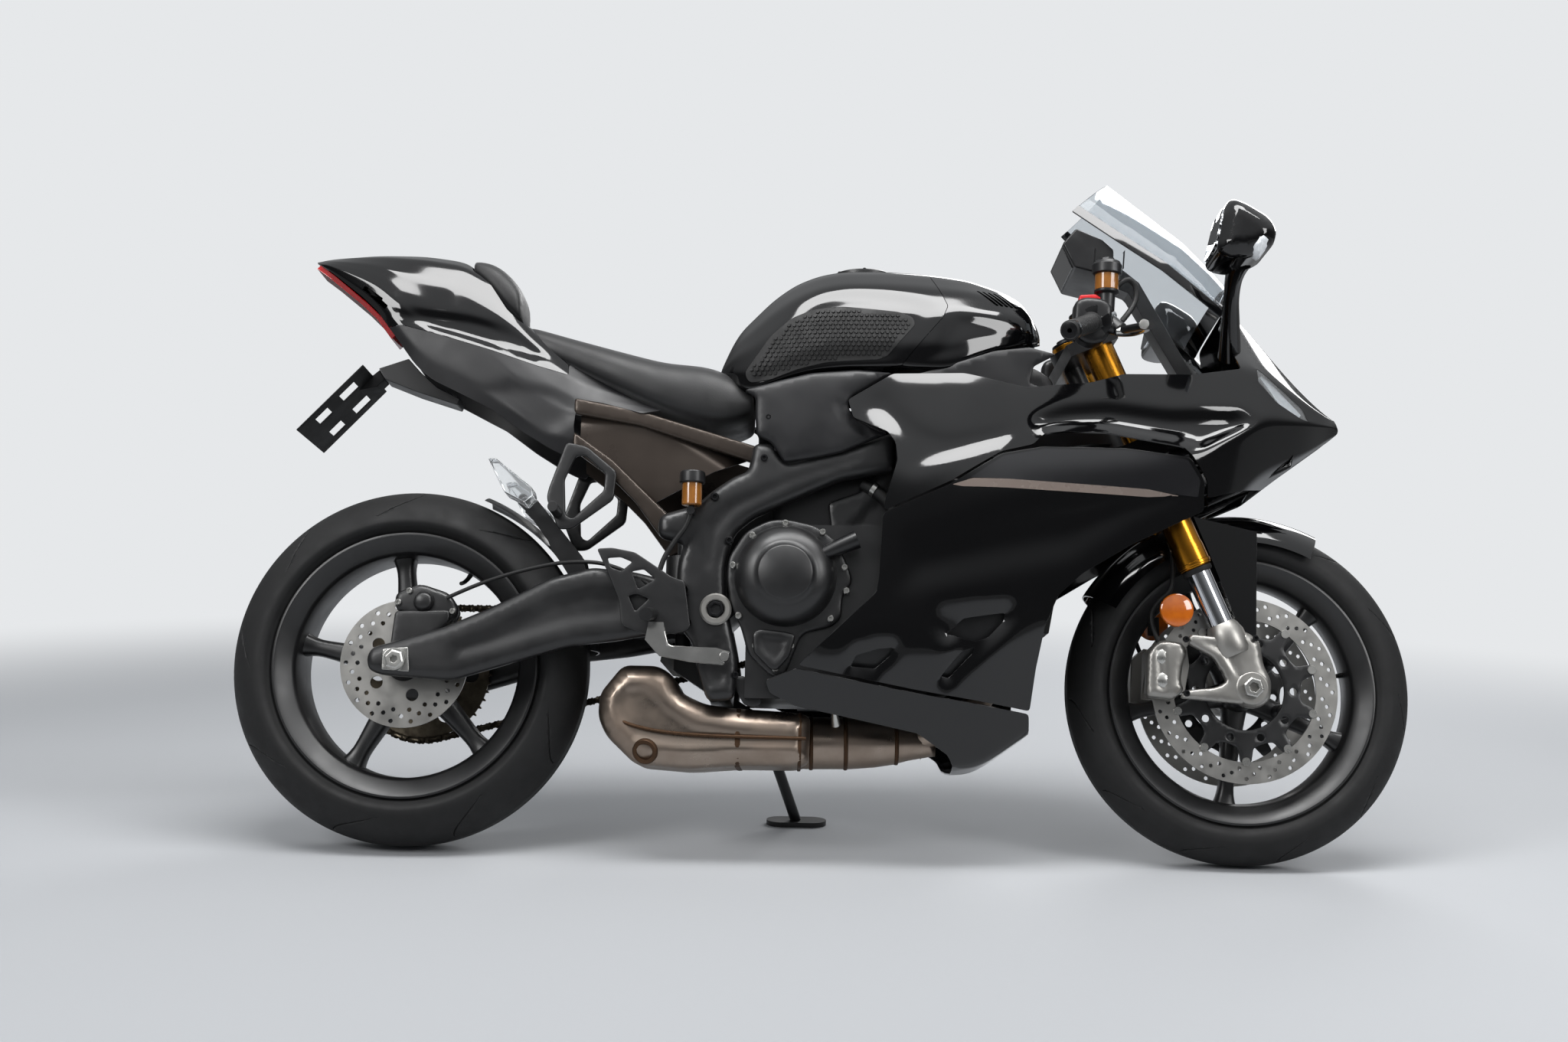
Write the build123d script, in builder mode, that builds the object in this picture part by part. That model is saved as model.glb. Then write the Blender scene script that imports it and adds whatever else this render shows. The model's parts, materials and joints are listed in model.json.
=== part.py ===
from build123d import *
from math import cos, degrees, hypot, pi, radians, sin, sqrt
import os

# A faired sport motorcycle, parked on its side stand. Everything is drawn upright,
# in millimetres: x forward, y to the left, z up from the ground, x = 0 near the
# engine. The last section leans the finished pieces onto the stand.

# ---- driving sizes
lean = 13.0  # parked lean to the left, degrees
gap = 0.3  # between pieces that seat on each other
seam = 0.8  # between neighbouring cowl panels
running = 5.0  # between a moving piece and what it passes

pivot_x, pivot_z = -187.0, 413.0  # swingarm pivot
swingarm_reach = 538.0  # pivot to rear axle, along x
front_reach = 912.0  # pivot to front axle, along x
rake = 23.2  # steering axis, degrees from upright
fork_lead = 30.0  # fork tubes ahead of the steering axis

rear_radius, rear_width, rear_crown = 313.0, 180.0, 97.0
front_radius, front_width, front_crown = 300.0, 120.0, 62.0
crown_step = 43.0  # where the tread's outer facet starts, degrees round the crown
rim_radius, rim_inner, rim_lip = 230.0, 192.0, 8.0
rear_rim_width, front_rim_width = 152.0, 106.0
spokes = 5

axle_radius, axle_bore, bearing = 12.5, 7.0, 0.05
front_disc_radius, front_disc_y, disc_thick = 160.0, 68.5, 5.0
rear_disc_radius, rear_disc_y = 110.0, -79.5

fork_spread = 105.0  # half the distance between the fork tubes
outer_tube, inner_tube = 27.0, 21.5
tube_socket = 60.0  # inner tube's length inside the outer tube
tube_bottom, outer_start, tube_top = 85.0, 223.0, 712.0  # along the fork, from the axle

chain_pitch, chain_y, chain_width, plate_height = 15.875, 107.0, 18.0, 15.0
rear_teeth, front_teeth = 48, 16
tooth_thick = 6.0

cowl_wall = 3.0
spar_in, spar_out = 118.0, 150.0  # frame spars and pivot plates, from the middle
arm_in, arm_out = 120.0, 152.0  # swingarm beams
neck_half = 112.0  # swingarm between the pivot plates
case_half, left_case = 145.0, 92.0  # crankcase, and its step behind the sprocket
barrel_half = 100.0  # cylinder block
tank_half = 166.0
seat_half = 122.0

# ---- places worked out from the driving sizes
rear_x = pivot_x - swingarm_reach
front_x = pivot_x + front_reach
rear_z = rear_radius
lean_r, rake_r = radians(lean), radians(rake)
# Leaned over, a tyre touches the ground on its crown arc, so it drops a little.
rear_drop = rear_crown * (1 - cos(lean_r))
front_z = front_radius - front_crown + (front_crown - rear_drop) / cos(lean_r)


def fork_at(along):
    """Point on the fork tubes' axis, this far up from the front axle."""
    return front_x - along * sin(rake_r), front_z + along * cos(rake_r)


def steer_at(along, ahead=0.0):
    """Point on the steering axis, or this far ahead of it."""
    x, z = fork_at(along)
    shift = ahead - fork_lead
    return x + shift * cos(rake_r), z + shift * sin(rake_r)


# ---- shared drawing steps
def flat(points, y_low, y_high, mode=Mode.ADD):
    """A side-view outline (x, z), extruded across the bike between two y values."""
    with BuildSketch(Plane.XZ.offset(-y_high)) as outline:
        with BuildLine():
            Polyline(*points, close=True)
        make_face()
    extrude(outline.sketch, amount=y_high - y_low, mode=mode)


def rod(start, end, radius, mode=Mode.ADD):
    """A round bar between two points."""
    run = Vector(*end) - Vector(*start)
    with BuildSketch(Plane(origin=start, z_dir=run)) as section:
        Circle(radius)
    extrude(section.sketch, amount=run.length, mode=mode)


def across(x, z, y_low, y_high, radius, mode=Mode.ADD):
    """A round bar along y."""
    rod((x, y_low, z), (x, y_high, z), radius, mode)


def pipe(points, radius, bend):
    """A tube's outside along straight runs and tangent bends."""
    with BuildLine() as route:
        FilletPolyline(*points, radius=bend)
    with BuildSketch(Plane(origin=points[0], z_dir=Vector(*points[1]) - Vector(*points[0]))) as end:
        Circle(radius)
    sweep(end.sketch, path=route.line)


def ring(x, z, y_low, y_high, outer, inner):
    """A flat ring about an axle."""
    with BuildSketch(Plane.XZ.offset(-y_high)) as face:
        with Locations((x, z)):
            Circle(outer)
            Circle(inner, mode=Mode.SUBTRACT)
    extrude(face.sketch, amount=y_high - y_low)


def front_view(rows, mode=Mode.INTERSECT):
    """Keep what lies inside a half section, rows of (half width, z), along the bike."""
    points = [(y, z) for y, z in rows] + [(-y, z) for y, z in reversed(rows)]
    with BuildSketch(Plane.YZ.offset(-1500)) as section:
        with BuildLine():
            Polyline(*points, close=True)
        make_face()
    extrude(section.sketch, amount=3000, mode=mode)


def top_view(rows, mode=Mode.INTERSECT):
    """Keep what lies inside a plan, rows of (x, half width), over the whole height."""
    points = [(x, y) for x, y in rows] + [(x, -y) for x, y in reversed(rows)]
    with BuildSketch(Plane.XY) as plan:
        with BuildLine():
            Polyline(*points, close=True)
        make_face()
    extrude(plan.sketch, amount=1500, mode=mode)


# ---- wheels
def build_tyre(x, z, radius, width, crown, rim_width):
    """Solid carcass: one ring of edges lies on the crown where the parked bike touches the ground."""
    centre, foot = radius - crown, rim_width / 2 - rim_lip - gap
    side = [(crown * sin(radians(angle)), centre + crown * cos(radians(angle))) for angle in (lean, crown_step)]
    side += [(width / 2, centre + sqrt(crown**2 - (width / 2) ** 2)), (foot, rim_radius + 1), (foot, rim_radius - rim_lip)]
    with BuildPart() as tyre:
        with BuildSketch(Plane.YZ.offset(x)):
            with BuildLine():
                Polyline(*[(y, z + r) for y, r in side], *[(-y, z + r) for y, r in reversed(side)], close=True)
            make_face()
        revolve(axis=Axis((x, 0, z), (0, 1, 0)))
    return tyre


def build_rim(x, z, width, hub, hub_low, hub_high, root, tip, thick, first_spoke):
    """Well, five spokes and a hub with its bearing bore."""
    half, seat = width / 2, rim_radius - rim_lip
    well = [(-half, rim_radius), (-half + rim_lip - gap, rim_radius), (-half + rim_lip, seat - gap),
            (-half + 26, seat - 4), (-half + 32, rim_inner + 8), (half - 32, rim_inner + 8),
            (half - 26, seat - 4), (half - rim_lip, seat - gap), (half - rim_lip + gap, rim_radius),
            (half, rim_radius), (half - 2, seat - 8), (half - 20, rim_inner), (-half + 20, rim_inner),
            (-half + 2, seat - 8)]
    with BuildPart() as rim:
        with BuildSketch(Plane.YZ.offset(x)) as section:
            with BuildLine():
                Polyline(*[(y, z + r) for y, r in well], close=True)
            make_face()
        revolve(axis=Axis((x, 0, z), (0, 1, 0)))
        with BuildSketch(Plane.XZ) as arms:
            with Locations((x, z)):
                with PolarLocations(0, spokes, start_angle=first_spoke):
                    Polygon((hub - 10, -root / 2), (rim_inner + 3, -tip / 2), (rim_inner + 3, tip / 2),
                            (hub - 10, root / 2), align=None)
        extrude(arms.sketch, amount=thick / 2, both=True)
        across(x, z, hub_low, hub_high, hub)
        across(x, z, hub_low, hub_high, axle_radius + bearing, mode=Mode.SUBTRACT)
    return rim


def sprocket_face(x, z, teeth, radius, bore):
    """Toothed outline of a sprocket, drawn in the side view."""
    with Locations((x, z)):
        Circle(radius - 4)
        with PolarLocations(0, teeth):
            Polygon((radius - 6, -3.2), (radius + 1, -1.2), (radius + 1, 1.2), (radius - 6, 3.2), align=None)
        Circle(bore, mode=Mode.SUBTRACT)


rear_tyre = build_tyre(rear_x, rear_z, rear_radius, rear_width, rear_crown, rear_rim_width)
front_tyre = build_tyre(front_x, front_z, front_radius, front_width, front_crown, front_rim_width)

carrier_y = chain_y - tooth_thick / 2
rear_hub, front_hub = 58.0, 36.0
rear_rim = build_rim(rear_x, rear_z, rear_rim_width, rear_hub, rear_disc_y + disc_thick / 2, carrier_y,
                     44, 26, 44, 25)
front_rim = build_rim(front_x, front_z, front_rim_width, front_hub, -front_disc_y + disc_thick / 2,
                      front_disc_y - disc_thick / 2, 40, 24, 40, -25)
disc_bolt_circle, disc_boss = 78.0, 12.0
with front_rim:
    with BuildSketch(Plane.XZ) as bosses:
        with Locations((front_x, front_z)):
            with PolarLocations(disc_bolt_circle, spokes, start_angle=-25):
                Circle(disc_boss)
    extrude(bosses.sketch, amount=front_disc_y - disc_thick / 2, both=True)

rear_pitch_radius = chain_pitch / 2 / sin(pi / rear_teeth)
front_pitch_radius = chain_pitch / 2 / sin(pi / front_teeth)
output_x, output_z = -104.0, 395.0  # gearbox output shaft

with BuildPart() as rear_sprocket:
    with BuildSketch(Plane.XZ.offset(-carrier_y - tooth_thick)) as face:
        sprocket_face(rear_x, rear_z, rear_teeth, rear_pitch_radius, 40)
        with Locations((rear_x, rear_z)):
            with PolarLocations(84, 6):
                Circle(15, mode=Mode.SUBTRACT)
    extrude(face.sketch, amount=tooth_thick)

with BuildPart() as front_sprocket:
    with BuildSketch(Plane.XZ.offset(-carrier_y - tooth_thick)) as face:
        sprocket_face(output_x, output_z, front_teeth, front_pitch_radius, 12)
    extrude(face.sketch, amount=tooth_thick)
    ring(output_x, output_z, left_case + gap, carrier_y + tooth_thick, 20, 11)


def chain_band(half_height):
    """Ring that follows both sprockets, this far each side of the pitch line."""
    for centre, radius in (((rear_x, rear_z), rear_pitch_radius), ((output_x, output_z), front_pitch_radius)):
        with Locations(centre):
            Circle(radius + half_height)
    make_hull()


with BuildPart() as drive_chain:
    with BuildSketch(Plane.XZ.offset(-chain_y - chain_width / 2)) as loop:
        chain_band(plate_height / 2)
        with BuildSketch(mode=Mode.SUBTRACT):
            chain_band(-plate_height / 2)
    extrude(loop.sketch, amount=chain_width)
    with BuildSketch(Plane.XZ.offset(-chain_y - tooth_thick / 2 - 1)) as groove:
        chain_band(2.5)
    extrude(groove.sketch, amount=tooth_thick + 2, mode=Mode.SUBTRACT)

with BuildPart() as rear_disc:
    ring(rear_x, rear_z, rear_disc_y - disc_thick / 2, rear_disc_y + disc_thick / 2, rear_disc_radius, 28)
    with BuildSketch(Plane.XZ.offset(-rear_disc_y)) as holes:
        with Locations((rear_x, rear_z)):
            with PolarLocations(96, 18):
                Circle(4)
            with PolarLocations(84, 18, start_angle=10):
                Circle(4)
            with PolarLocations(62, 5):
                Circle(11)
    extrude(holes.sketch, amount=disc_thick, both=True, mode=Mode.SUBTRACT)

with BuildPart() as front_discs:
    with BuildSketch(Plane.XZ.offset(-front_disc_y - disc_thick / 2)) as face:
        with Locations((front_x, front_z)):
            Circle(front_disc_radius)
            Circle(125, mode=Mode.SUBTRACT)
            with PolarLocations(108, 10, start_angle=18):
                Rectangle(44, 12)
            Circle(96)
            Circle(68, mode=Mode.SUBTRACT)
            with PolarLocations(150, 24):
                Circle(3.5, mode=Mode.SUBTRACT)
            with PolarLocations(136, 24, start_angle=7.5):
                Circle(3.5, mode=Mode.SUBTRACT)
    extrude(face.sketch, amount=disc_thick)
    mirror(about=Plane.XZ)

# ---- main frame: two spars from the steering head to the pivot plates
head_low, head_high = steer_at(480), steer_at(600)
stem_radius = 17.0
spar_outline = [(115, 728), (23, 692), (-109, 662), (-162, 643), (-201, 615), (-233, 581), (-249, 540),
                (-256, 470), (-250, 381), (-226, 355), (-215, 303), (-197, 254), (-152, 259), (-147, 318),
                (-157, 370), (-169, 422), (-173, 488), (-159, 542), (-127, 570), (-68, 598), (24, 640),
                (115, 657)]
shaft_radius = 13.0
tank_floor = [(115, 832), (46, 834)]


def tank_base(x):
    """Height of a bracket's top under the tank's floor."""
    (x0, z0), (x1, z1) = tank_floor
    return z0 + (x - x0) * (z1 - z0) / (x1 - x0) - gap


with BuildPart() as main_frame:
    flat(spar_outline, -spar_out, -spar_in)
    with BuildSketch(Plane.YZ.offset(115)) as back:
        with BuildLine():
            Polyline((-spar_out, 657), (-spar_in, 657), (-spar_in, 728), (-spar_out, 728), close=True)
        make_face()
    with BuildSketch(Plane.YZ.offset(head_low[0] - 40)) as front:
        with BuildLine():
            Polyline((-46, head_low[1] + 5), (-18, head_low[1] + 5), (-18, head_high[1] - 12),
                     (-46, head_high[1] - 12), close=True)
        make_face()
    loft([back.sketch.faces()[0], front.sketch.faces()[0]], ruled=True)
    flat([(-135, 640), (-128, 700), (-96, 700), (-80, 660)], -spar_out, -spar_in)
    flat([(-240, 520), (-290, 535), (-290, 570), (-232, 588)], -spar_out, -spar_in)
    flat([(45, 680), (60, tank_base(60)), (90, tank_base(90)), (100, 700)], -spar_out + 18, -spar_in)
    mirror(about=Plane.XZ)
    flat([(head_low[0] - 45, head_low[1] + 5), (head_low[0] - 5, head_low[1] + 5),
          (head_high[0] + 5, head_high[1] - 12), (head_low[0] - 45, head_high[1] - 12)], -46, 46)
    rod((head_low[0], 0, head_low[1]), (head_high[0], 0, head_high[1]), 34)
    flat([(-205, 560), (-175, 560), (-175, 620), (-205, 612)], -spar_in, spar_in)
    flat([(-268, 572), (-200, 572), (-200, 600), (-268, 600)], -20, 20)
    flat([(-197, 262), (-160, 262), (-160, 300), (-197, 300)], -spar_in, spar_in)
    across(pivot_x, pivot_z, -spar_out - 1, spar_out + 1, shaft_radius + gap, mode=Mode.SUBTRACT)
    rod((head_low[0], 0, head_low[1]), (head_high[0], 0, head_high[1]), stem_radius + bearing, mode=Mode.SUBTRACT)

rail_out, rail_in = 115.0, 98.0
with BuildPart() as subframe:
    for side in (-1, 1):
        low, high = sorted((side * rail_in, side * rail_out))
        flat([(-445, 783), (-326, 760), (-110, 697), (-100, 684), (-112, 668), (-330, 736), (-445, 755)], low, high)
        flat([(-445, 722), (-376, 673), (-293, 594), (-258, 560), (-272, 545), (-285, 538), (-333, 600),
              (-374, 639), (-445, 690)], low, high)
        skin_low, skin_high = sorted((side * rail_in, side * (rail_in + 5)))
        flat([(-434, 757), (-327, 745), (-120, 685), (-200, 657), (-300, 600), (-378, 670), (-434, 715)],
             skin_low, skin_high)
    for x, z in ((-420, 765), (-200, 712), (-300, 592)):
        across(x, z, -rail_in - 1, rail_in + 1, 9)
    for side in (-1, 1):
        for x, z in ((-112, 683), (-270, 553)):
            low, high = sorted((side * rail_in, side * (spar_in - gap)))
            across(x, z, low, high, 9)

# ---- engine, one plain block, with its side covers
case_outline = [(-135, 262), (-135, 480), (-100, 535), (-40, 560), (110, 560), (190, 515), (222, 430),
                (215, 330), (160, 262)]
cover_split = -45.0
block_face = [(190, 505), (270, 650)]  # the cylinder block's front face
with BuildPart() as engine:
    flat(case_outline, -case_half, left_case)
    flat([(cover_split, 262), (cover_split, 558), (110, 560), (190, 515), (222, 430), (215, 330), (160, 262)],
         left_case - 1, case_half)
    flat([(10, 540)] + block_face + [(105, 686)], -barrel_half, barrel_half)
    flat([(-150, 500), (-110, 500), (-110, 530), (-150, 530)], -60, 60)

clutch_x, clutch_z, clutch_radius = -74.0, 475.0, 88.0
with BuildPart() as engine_covers:
    across(clutch_x, clutch_z, -case_half - 32, -case_half - gap, clutch_radius)
    across(clutch_x + 8, clutch_z - 4, -case_half - 55, -case_half - 31, 52)
    flat([(-138, 405), (-20, 400), (-45, 345), (-85, 295), (-122, 330)], -case_half - 12, -case_half - gap)
    across(15, 440, case_half + gap, case_half + 34, 66)
    flat([(-140, 345), (-140, 450), (-100, 470), (cover_split - gap, 465), (cover_split - gap, 345)],
         left_case + 30, case_half - 1)

# ---- swingarm, chain side cut through for the chain's upper run
arm_outline = [(-770, 298), (-770, 332), (-649, 371), (-573, 405), (-471, 458), (-400, 478), (-330, 472),
               (-275, 460), (-275, 372), (-354, 354), (-439, 343), (-567, 301), (-631, 281), (-750, 288)]
chain_high = rear_z + rear_pitch_radius + plate_height / 2
with BuildPart() as swingarm:
    for low, high in ((-arm_out, -arm_in), (arm_in, arm_out)):
        flat(arm_outline, low, high)
    flat([(-392, 392), (-392, 474), (-330, 470), (-275, 460), (-275, 378)], -arm_in - 1, arm_in + 1)
    flat([(-285, 455), (-187, 450), (-150, 413), (-187, 376), (-285, 380)], -neck_half, neck_half)
    flat([(-400, chain_high - 30), (-400, chain_high + 12), (-140, chain_high + 12), (-140, chain_high - 30)],
         chain_y - chain_width / 2 - 6, arm_in, mode=Mode.SUBTRACT)
    flat([(output_x - 65, 350), (output_x - 65, 460), (output_x - 36, 460), (output_x - 36, 350)],
         chain_y - chain_width / 2 - 6, arm_in, mode=Mode.SUBTRACT)
    flat([(-298, 300), (-298, 480), (-214, 480), (-214, 300)], -42, 42, mode=Mode.SUBTRACT)
    across(pivot_x, pivot_z, -spar_out - 4, spar_out + 4, shaft_radius)
    across(rear_x, rear_z, -arm_out - 1, arm_out + 1, axle_radius + gap, mode=Mode.SUBTRACT)

nut_radius = 19.0
with BuildPart() as rear_axle:
    across(rear_x, rear_z, -arm_out - 8, arm_out + 8, axle_radius)
    for side in (-1, 1):
        low, high = sorted((side * (arm_out + gap), side * (arm_out + 14)))
        across(rear_x, rear_z, low, high, nut_radius)
    across(rear_x, rear_z, carrier_y + tooth_thick + running, arm_in - gap, nut_radius)
    across(rear_x, rear_z, -100 + gap, rear_disc_y - disc_thick / 2 - running, nut_radius)
    across(rear_x, rear_z, -arm_out - 15, arm_out + 15, axle_bore, mode=Mode.SUBTRACT)

slot = disc_thick + 2 * running
with BuildPart() as rear_caliper:
    flat([(-742, 400), (-742, 442), (-700, 454), (-640, 436), (-625, 400), (-640, 378), (-700, 385)], -112, -60)
    flat([(-745, 295), (-705, 295), (-700, 330), (-640, 385), (-640, 410), (-742, 410), (-745, 330)],
         -arm_in + gap, -100)
    across(rear_x, rear_z, rear_disc_y - slot / 2, rear_disc_y + slot / 2, rear_disc_radius + running,
           mode=Mode.SUBTRACT)
    across(rear_x, rear_z, -arm_in - 1, -90, axle_radius + gap, mode=Mode.SUBTRACT)

with BuildPart() as shock_absorber:
    rod((-250, 0, 335), (-250, 0, 572 - gap), 14)
    rod((-250, 0, 395), (-250, 0, 520), 34)
    flat([(-264, 318), (-264, 348), (-236, 348), (-197 - gap, 300), (-197 - gap, 275)], -14, 14)

# ---- hugger over the rear tyre, with the lamp arms
def arch(x, z, half, edge, top, wall, start, turn):
    """A curved guard over a tyre: half width, radius at its edge and top, from an angle off the vertical."""
    angle = radians(start)
    with BuildSketch(Plane(origin=(x, 0, z), x_dir=(0, 1, 0), z_dir=(cos(angle), 0, -sin(angle)))) as band:
        with BuildLine():
            ThreePointArc((-half, edge), (0, top), (half, edge))
            Line((half, edge), (half + wall, edge))
            ThreePointArc((half + wall, edge), (0, top + wall), (-half - wall, edge))
            Line((-half - wall, edge), (-half, edge))
        make_face()
    revolve(band.sketch, axis=Axis((x, 0, z), (0, 1, 0)), revolution_arc=turn)


hugger_gap, guard_wall = 14.0, 3.0
lamp_arm = [(-547, 605), (-514, 613), (-429, 512), (-418, 470), (-440, 452), (-466, 478), (-490, 538), (-526, 585)]
with BuildPart() as rear_hugger:
    arch(rear_x, rear_z, rear_width / 2 + 6, rear_radius - 50, rear_radius + hugger_gap, guard_wall, 22, 62)
    for side in (-1, 1):
        low, high = sorted((side * 40, side * 47))
        flat(lamp_arm, low, high)
    flat([(-428, 425), (-392 - gap, 425), (-392 - gap, 450), (-434, 450)], -40, 40)
    across(rear_x, rear_z, -200, 200, rear_radius + 6, mode=Mode.SUBTRACT)

with BuildPart() as rear_indicators:
    flat([(-586, 664), (-572, 664), (-508, 614), (-506, 600), (-520, 588), (-556, 606)], -150, -90)
    across(-528, 602, -92, -47 - gap, 7)
    mirror(about=Plane.XZ)

# ---- steering head, fork and front wheel's carriers
clamp_half = fork_spread + outer_tube + 4


def fork_rod(low, high, radius, mode=Mode.ADD):
    """A round bar along each fork tube."""
    for side in (-1, 1):
        (x0, z0), (x1, z1) = fork_at(low), fork_at(high)
        rod((x0, side * fork_spread, z0), (x1, side * fork_spread, z1), radius, mode)


def clamp_plate(low, high, back):
    """A fork clamp: a thick plate square to the steering axis."""
    ahead = fork_lead + outer_tube + 6
    corners = [steer_at(low, -back), steer_at(low, ahead), steer_at(high, ahead), steer_at(high, -back)]
    flat(corners, -clamp_half, clamp_half)


lower_clamp, upper_clamp = (425.0, 465.0), (644.0, 666.0)
with BuildPart() as triple_clamps:
    for (low, high), back in ((lower_clamp, 30), (upper_clamp, 26)):
        clamp_plate(low, high, back)
    (x0, z0), (x1, z1) = steer_at(lower_clamp[0]), steer_at(upper_clamp[1])
    rod((x0, 0, z0), (x1, 0, z1), stem_radius)
    fork_rod(outer_start, tube_top + 10, outer_tube + 0.1, mode=Mode.SUBTRACT)

with BuildPart() as fork_outer_tubes:
    fork_rod(outer_start, tube_top, outer_tube)
    fork_rod(outer_start - 1, outer_start + tube_socket, inner_tube + 0.1, mode=Mode.SUBTRACT)

with BuildPart() as fork_inner_tubes:
    fork_rod(tube_bottom, outer_start + tube_socket - gap, inner_tube)

foot_in, foot_out = 82.0, 128.0
guard_seat = [(front_x - 9.4, front_z + 99.4), (front_x + 16.4, front_z + 82.3)]  # the mudguard's lower ends
caliper_x, caliper_z = front_x - 136, front_z + 28
with BuildPart() as fork_feet:
    flat([(front_x - 44, front_z + 84)] + [(x, z - gap) for x, z in guard_seat] + [(front_x + 22, front_z + 38),
          (front_x + 36, front_z + 14), (front_x + 34, front_z - 20), (front_x + 12, front_z - 34),
          (front_x - 16, front_z - 30), (front_x - 26, front_z + 2), (front_x - 40, front_z + 50)],
         -foot_out, -foot_in)
    flat([(front_x - 108, front_z + 76), (front_x - 104, front_z + 90), (front_x - 34, front_z + 80),
          (front_x - 28, front_z + 52)], -foot_out, -foot_out + 20)
    flat([(front_x - 120, front_z - 22), (front_x - 116, front_z - 8), (front_x - 20, front_z + 4),
          (front_x - 12, front_z - 26)], -foot_out, -foot_out + 20)
    mirror(about=Plane.XZ)
    fork_rod(tube_bottom - gap, outer_start, inner_tube + 0.1, mode=Mode.SUBTRACT)
    across(front_x, front_z, -foot_out - 1, foot_out + 1, axle_radius + gap, mode=Mode.SUBTRACT)

with BuildPart() as front_axle:
    across(front_x, front_z, -foot_out - 8, foot_out + 8, axle_radius)
    across(front_x, front_z, -foot_out - 12, -foot_out - gap, nut_radius)
    for side in (-1, 1):
        low, high = sorted((side * (front_disc_y + disc_thick / 2 + running), side * (foot_in - gap)))
        across(front_x, front_z, low, high, nut_radius)
    across(front_x, front_z, -foot_out - 13, foot_out + 9, 8, mode=Mode.SUBTRACT)

with BuildPart() as front_calipers:
    flat([(front_x - 173, front_z + 60), (front_x - 150, front_z + 82), (front_x - 100, front_z + 74),
          (front_x - 96, front_z + 40), (front_x - 104, front_z - 2), (front_x - 128, front_z - 22),
          (front_x - 176, front_z - 18)], -foot_out + 20 + gap, -52)
    across(front_x, front_z, -front_disc_y - slot / 2, -front_disc_y + slot / 2,
           front_disc_radius + running, mode=Mode.SUBTRACT)
    mirror(about=Plane.XZ)

guard_gap, guard_half = 12.0, 70.0
with BuildPart() as front_mudguard:
    arch(front_x, front_z, guard_half, front_radius - 40, front_radius + guard_gap, guard_wall, -58, 85)
    flat([(fork_at(310)[0] + 34, fork_at(310)[1] + 14), (fork_at(240)[0] + 33, fork_at(240)[1] + 14)]
         + guard_seat + [(fork_at(215)[0] + 106, fork_at(215)[1] + 45), (fork_at(300)[0] + 140, fork_at(300)[1] - 2)],
         -foot_in - 10, -guard_half + 8)
    mirror(about=Plane.XZ)
    across(front_x, front_z, -76, 76, 175, mode=Mode.SUBTRACT)
    across(front_x, front_z, -67, 67, 264, mode=Mode.SUBTRACT)

grip_in, grip_out = Vector(446, -228, 906), Vector(386, -345, 856)
bar_run = (grip_in - grip_out).normalized()
bar_root = grip_in + bar_run * 95
bar_radius, grip_radius, bar_end_hole = 11.0, 16.5, 4.0
with BuildPart() as handlebars:
    rod(grip_out, bar_root, bar_radius)
    (x0, z0), (x1, z1) = fork_at(upper_clamp[1] + 4), fork_at(upper_clamp[1] + 36)
    rod((x0, -fork_spread, z0), (x1, -fork_spread, z1), outer_tube + 8)
    rod((x1, -fork_spread, z1 - 16), tuple(bar_root), 13)
    rod(grip_out - bar_run, grip_out + bar_run * 40, bar_end_hole, mode=Mode.SUBTRACT)
    mirror(about=Plane.XZ)
    fork_rod(600, 760, outer_tube + 0.1, mode=Mode.SUBTRACT)

with BuildPart() as grips:
    rod(grip_out - bar_run * 2, grip_out + bar_run * 120, grip_radius)
    rod(grip_out - bar_run * 3, grip_out + bar_run * 121, bar_radius + 0.1, mode=Mode.SUBTRACT)
    mirror(about=Plane.XZ)

lever_start, lever_end = grip_in + Vector(44, 5, -12), grip_in + Vector(70, -118, -38)
with BuildPart() as hand_controls:
    rod(grip_in + bar_run * 4, grip_in + bar_run * 44, 27)
    rod(grip_in + bar_run * 24 + Vector(14, 0, 2), lever_start, 13)
    rod(lever_start + Vector(0, 14, 2), lever_end, 7)
    mirror(about=Plane.XZ)
    rod((470, -205, 930), (474, -205, 1010), 21)
    rod((474, -205, 1010), (476, -205, 1040), 26)
    for side in (-1, 1):
        start, end = (Vector(point.X, -side * point.Y, point.Z) for point in (grip_in, grip_in + bar_run * 100))
        rod(start, end, bar_radius + 0.1, mode=Mode.SUBTRACT)

# ---- cowls: one envelope, thin walled, cut into its panels
# columns: x, shoulder (y, z), ridge z, widest (y, z), low (y, z), keel (y, z)
stations = [
    (-110, case_half + 5, 835, 900, case_half + 55, 640, case_half + 37, 340, case_half - 21, 150),
    (260, case_half + 27, 835, 900, case_half + 87, 640, case_half + 55, 340, case_half - 20, 150),
    (620, case_half + 20, 850, 1100, case_half + 69, 680, case_half + 45, 540, case_half - 35, 430),
    (740, 140, 858, 990, 172, 745, 140, 660, 60, 620),
    (840, 85, 800, 862, 100, 755, 80, 712, 40, 700),
    (911, 18, 778, 788, 22, 770, 18, 764, 10, 758),
]


def envelope(inset):
    """The cowls' surface, moved inwards by the wall."""
    with BuildPart() as hull:
        for x, sy, sz, ridge, wy, wz, ly, lz, ky, kz in stations:
            with BuildSketch(Plane.YZ.offset(x)):
                with BuildLine():
                    side = [(ky - inset, kz + inset), (ly - inset, lz), (wy - inset, wz), (sy - inset, sz)]
                    points = side + [(0, ridge - inset)] + [(-y, z) for y, z in reversed(side)]
                    Polyline(*points, close=True)
                make_face()
        loft(ruled=True)
    return hull


outer_hull, inner_hull = envelope(0), envelope(cowl_wall)


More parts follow.
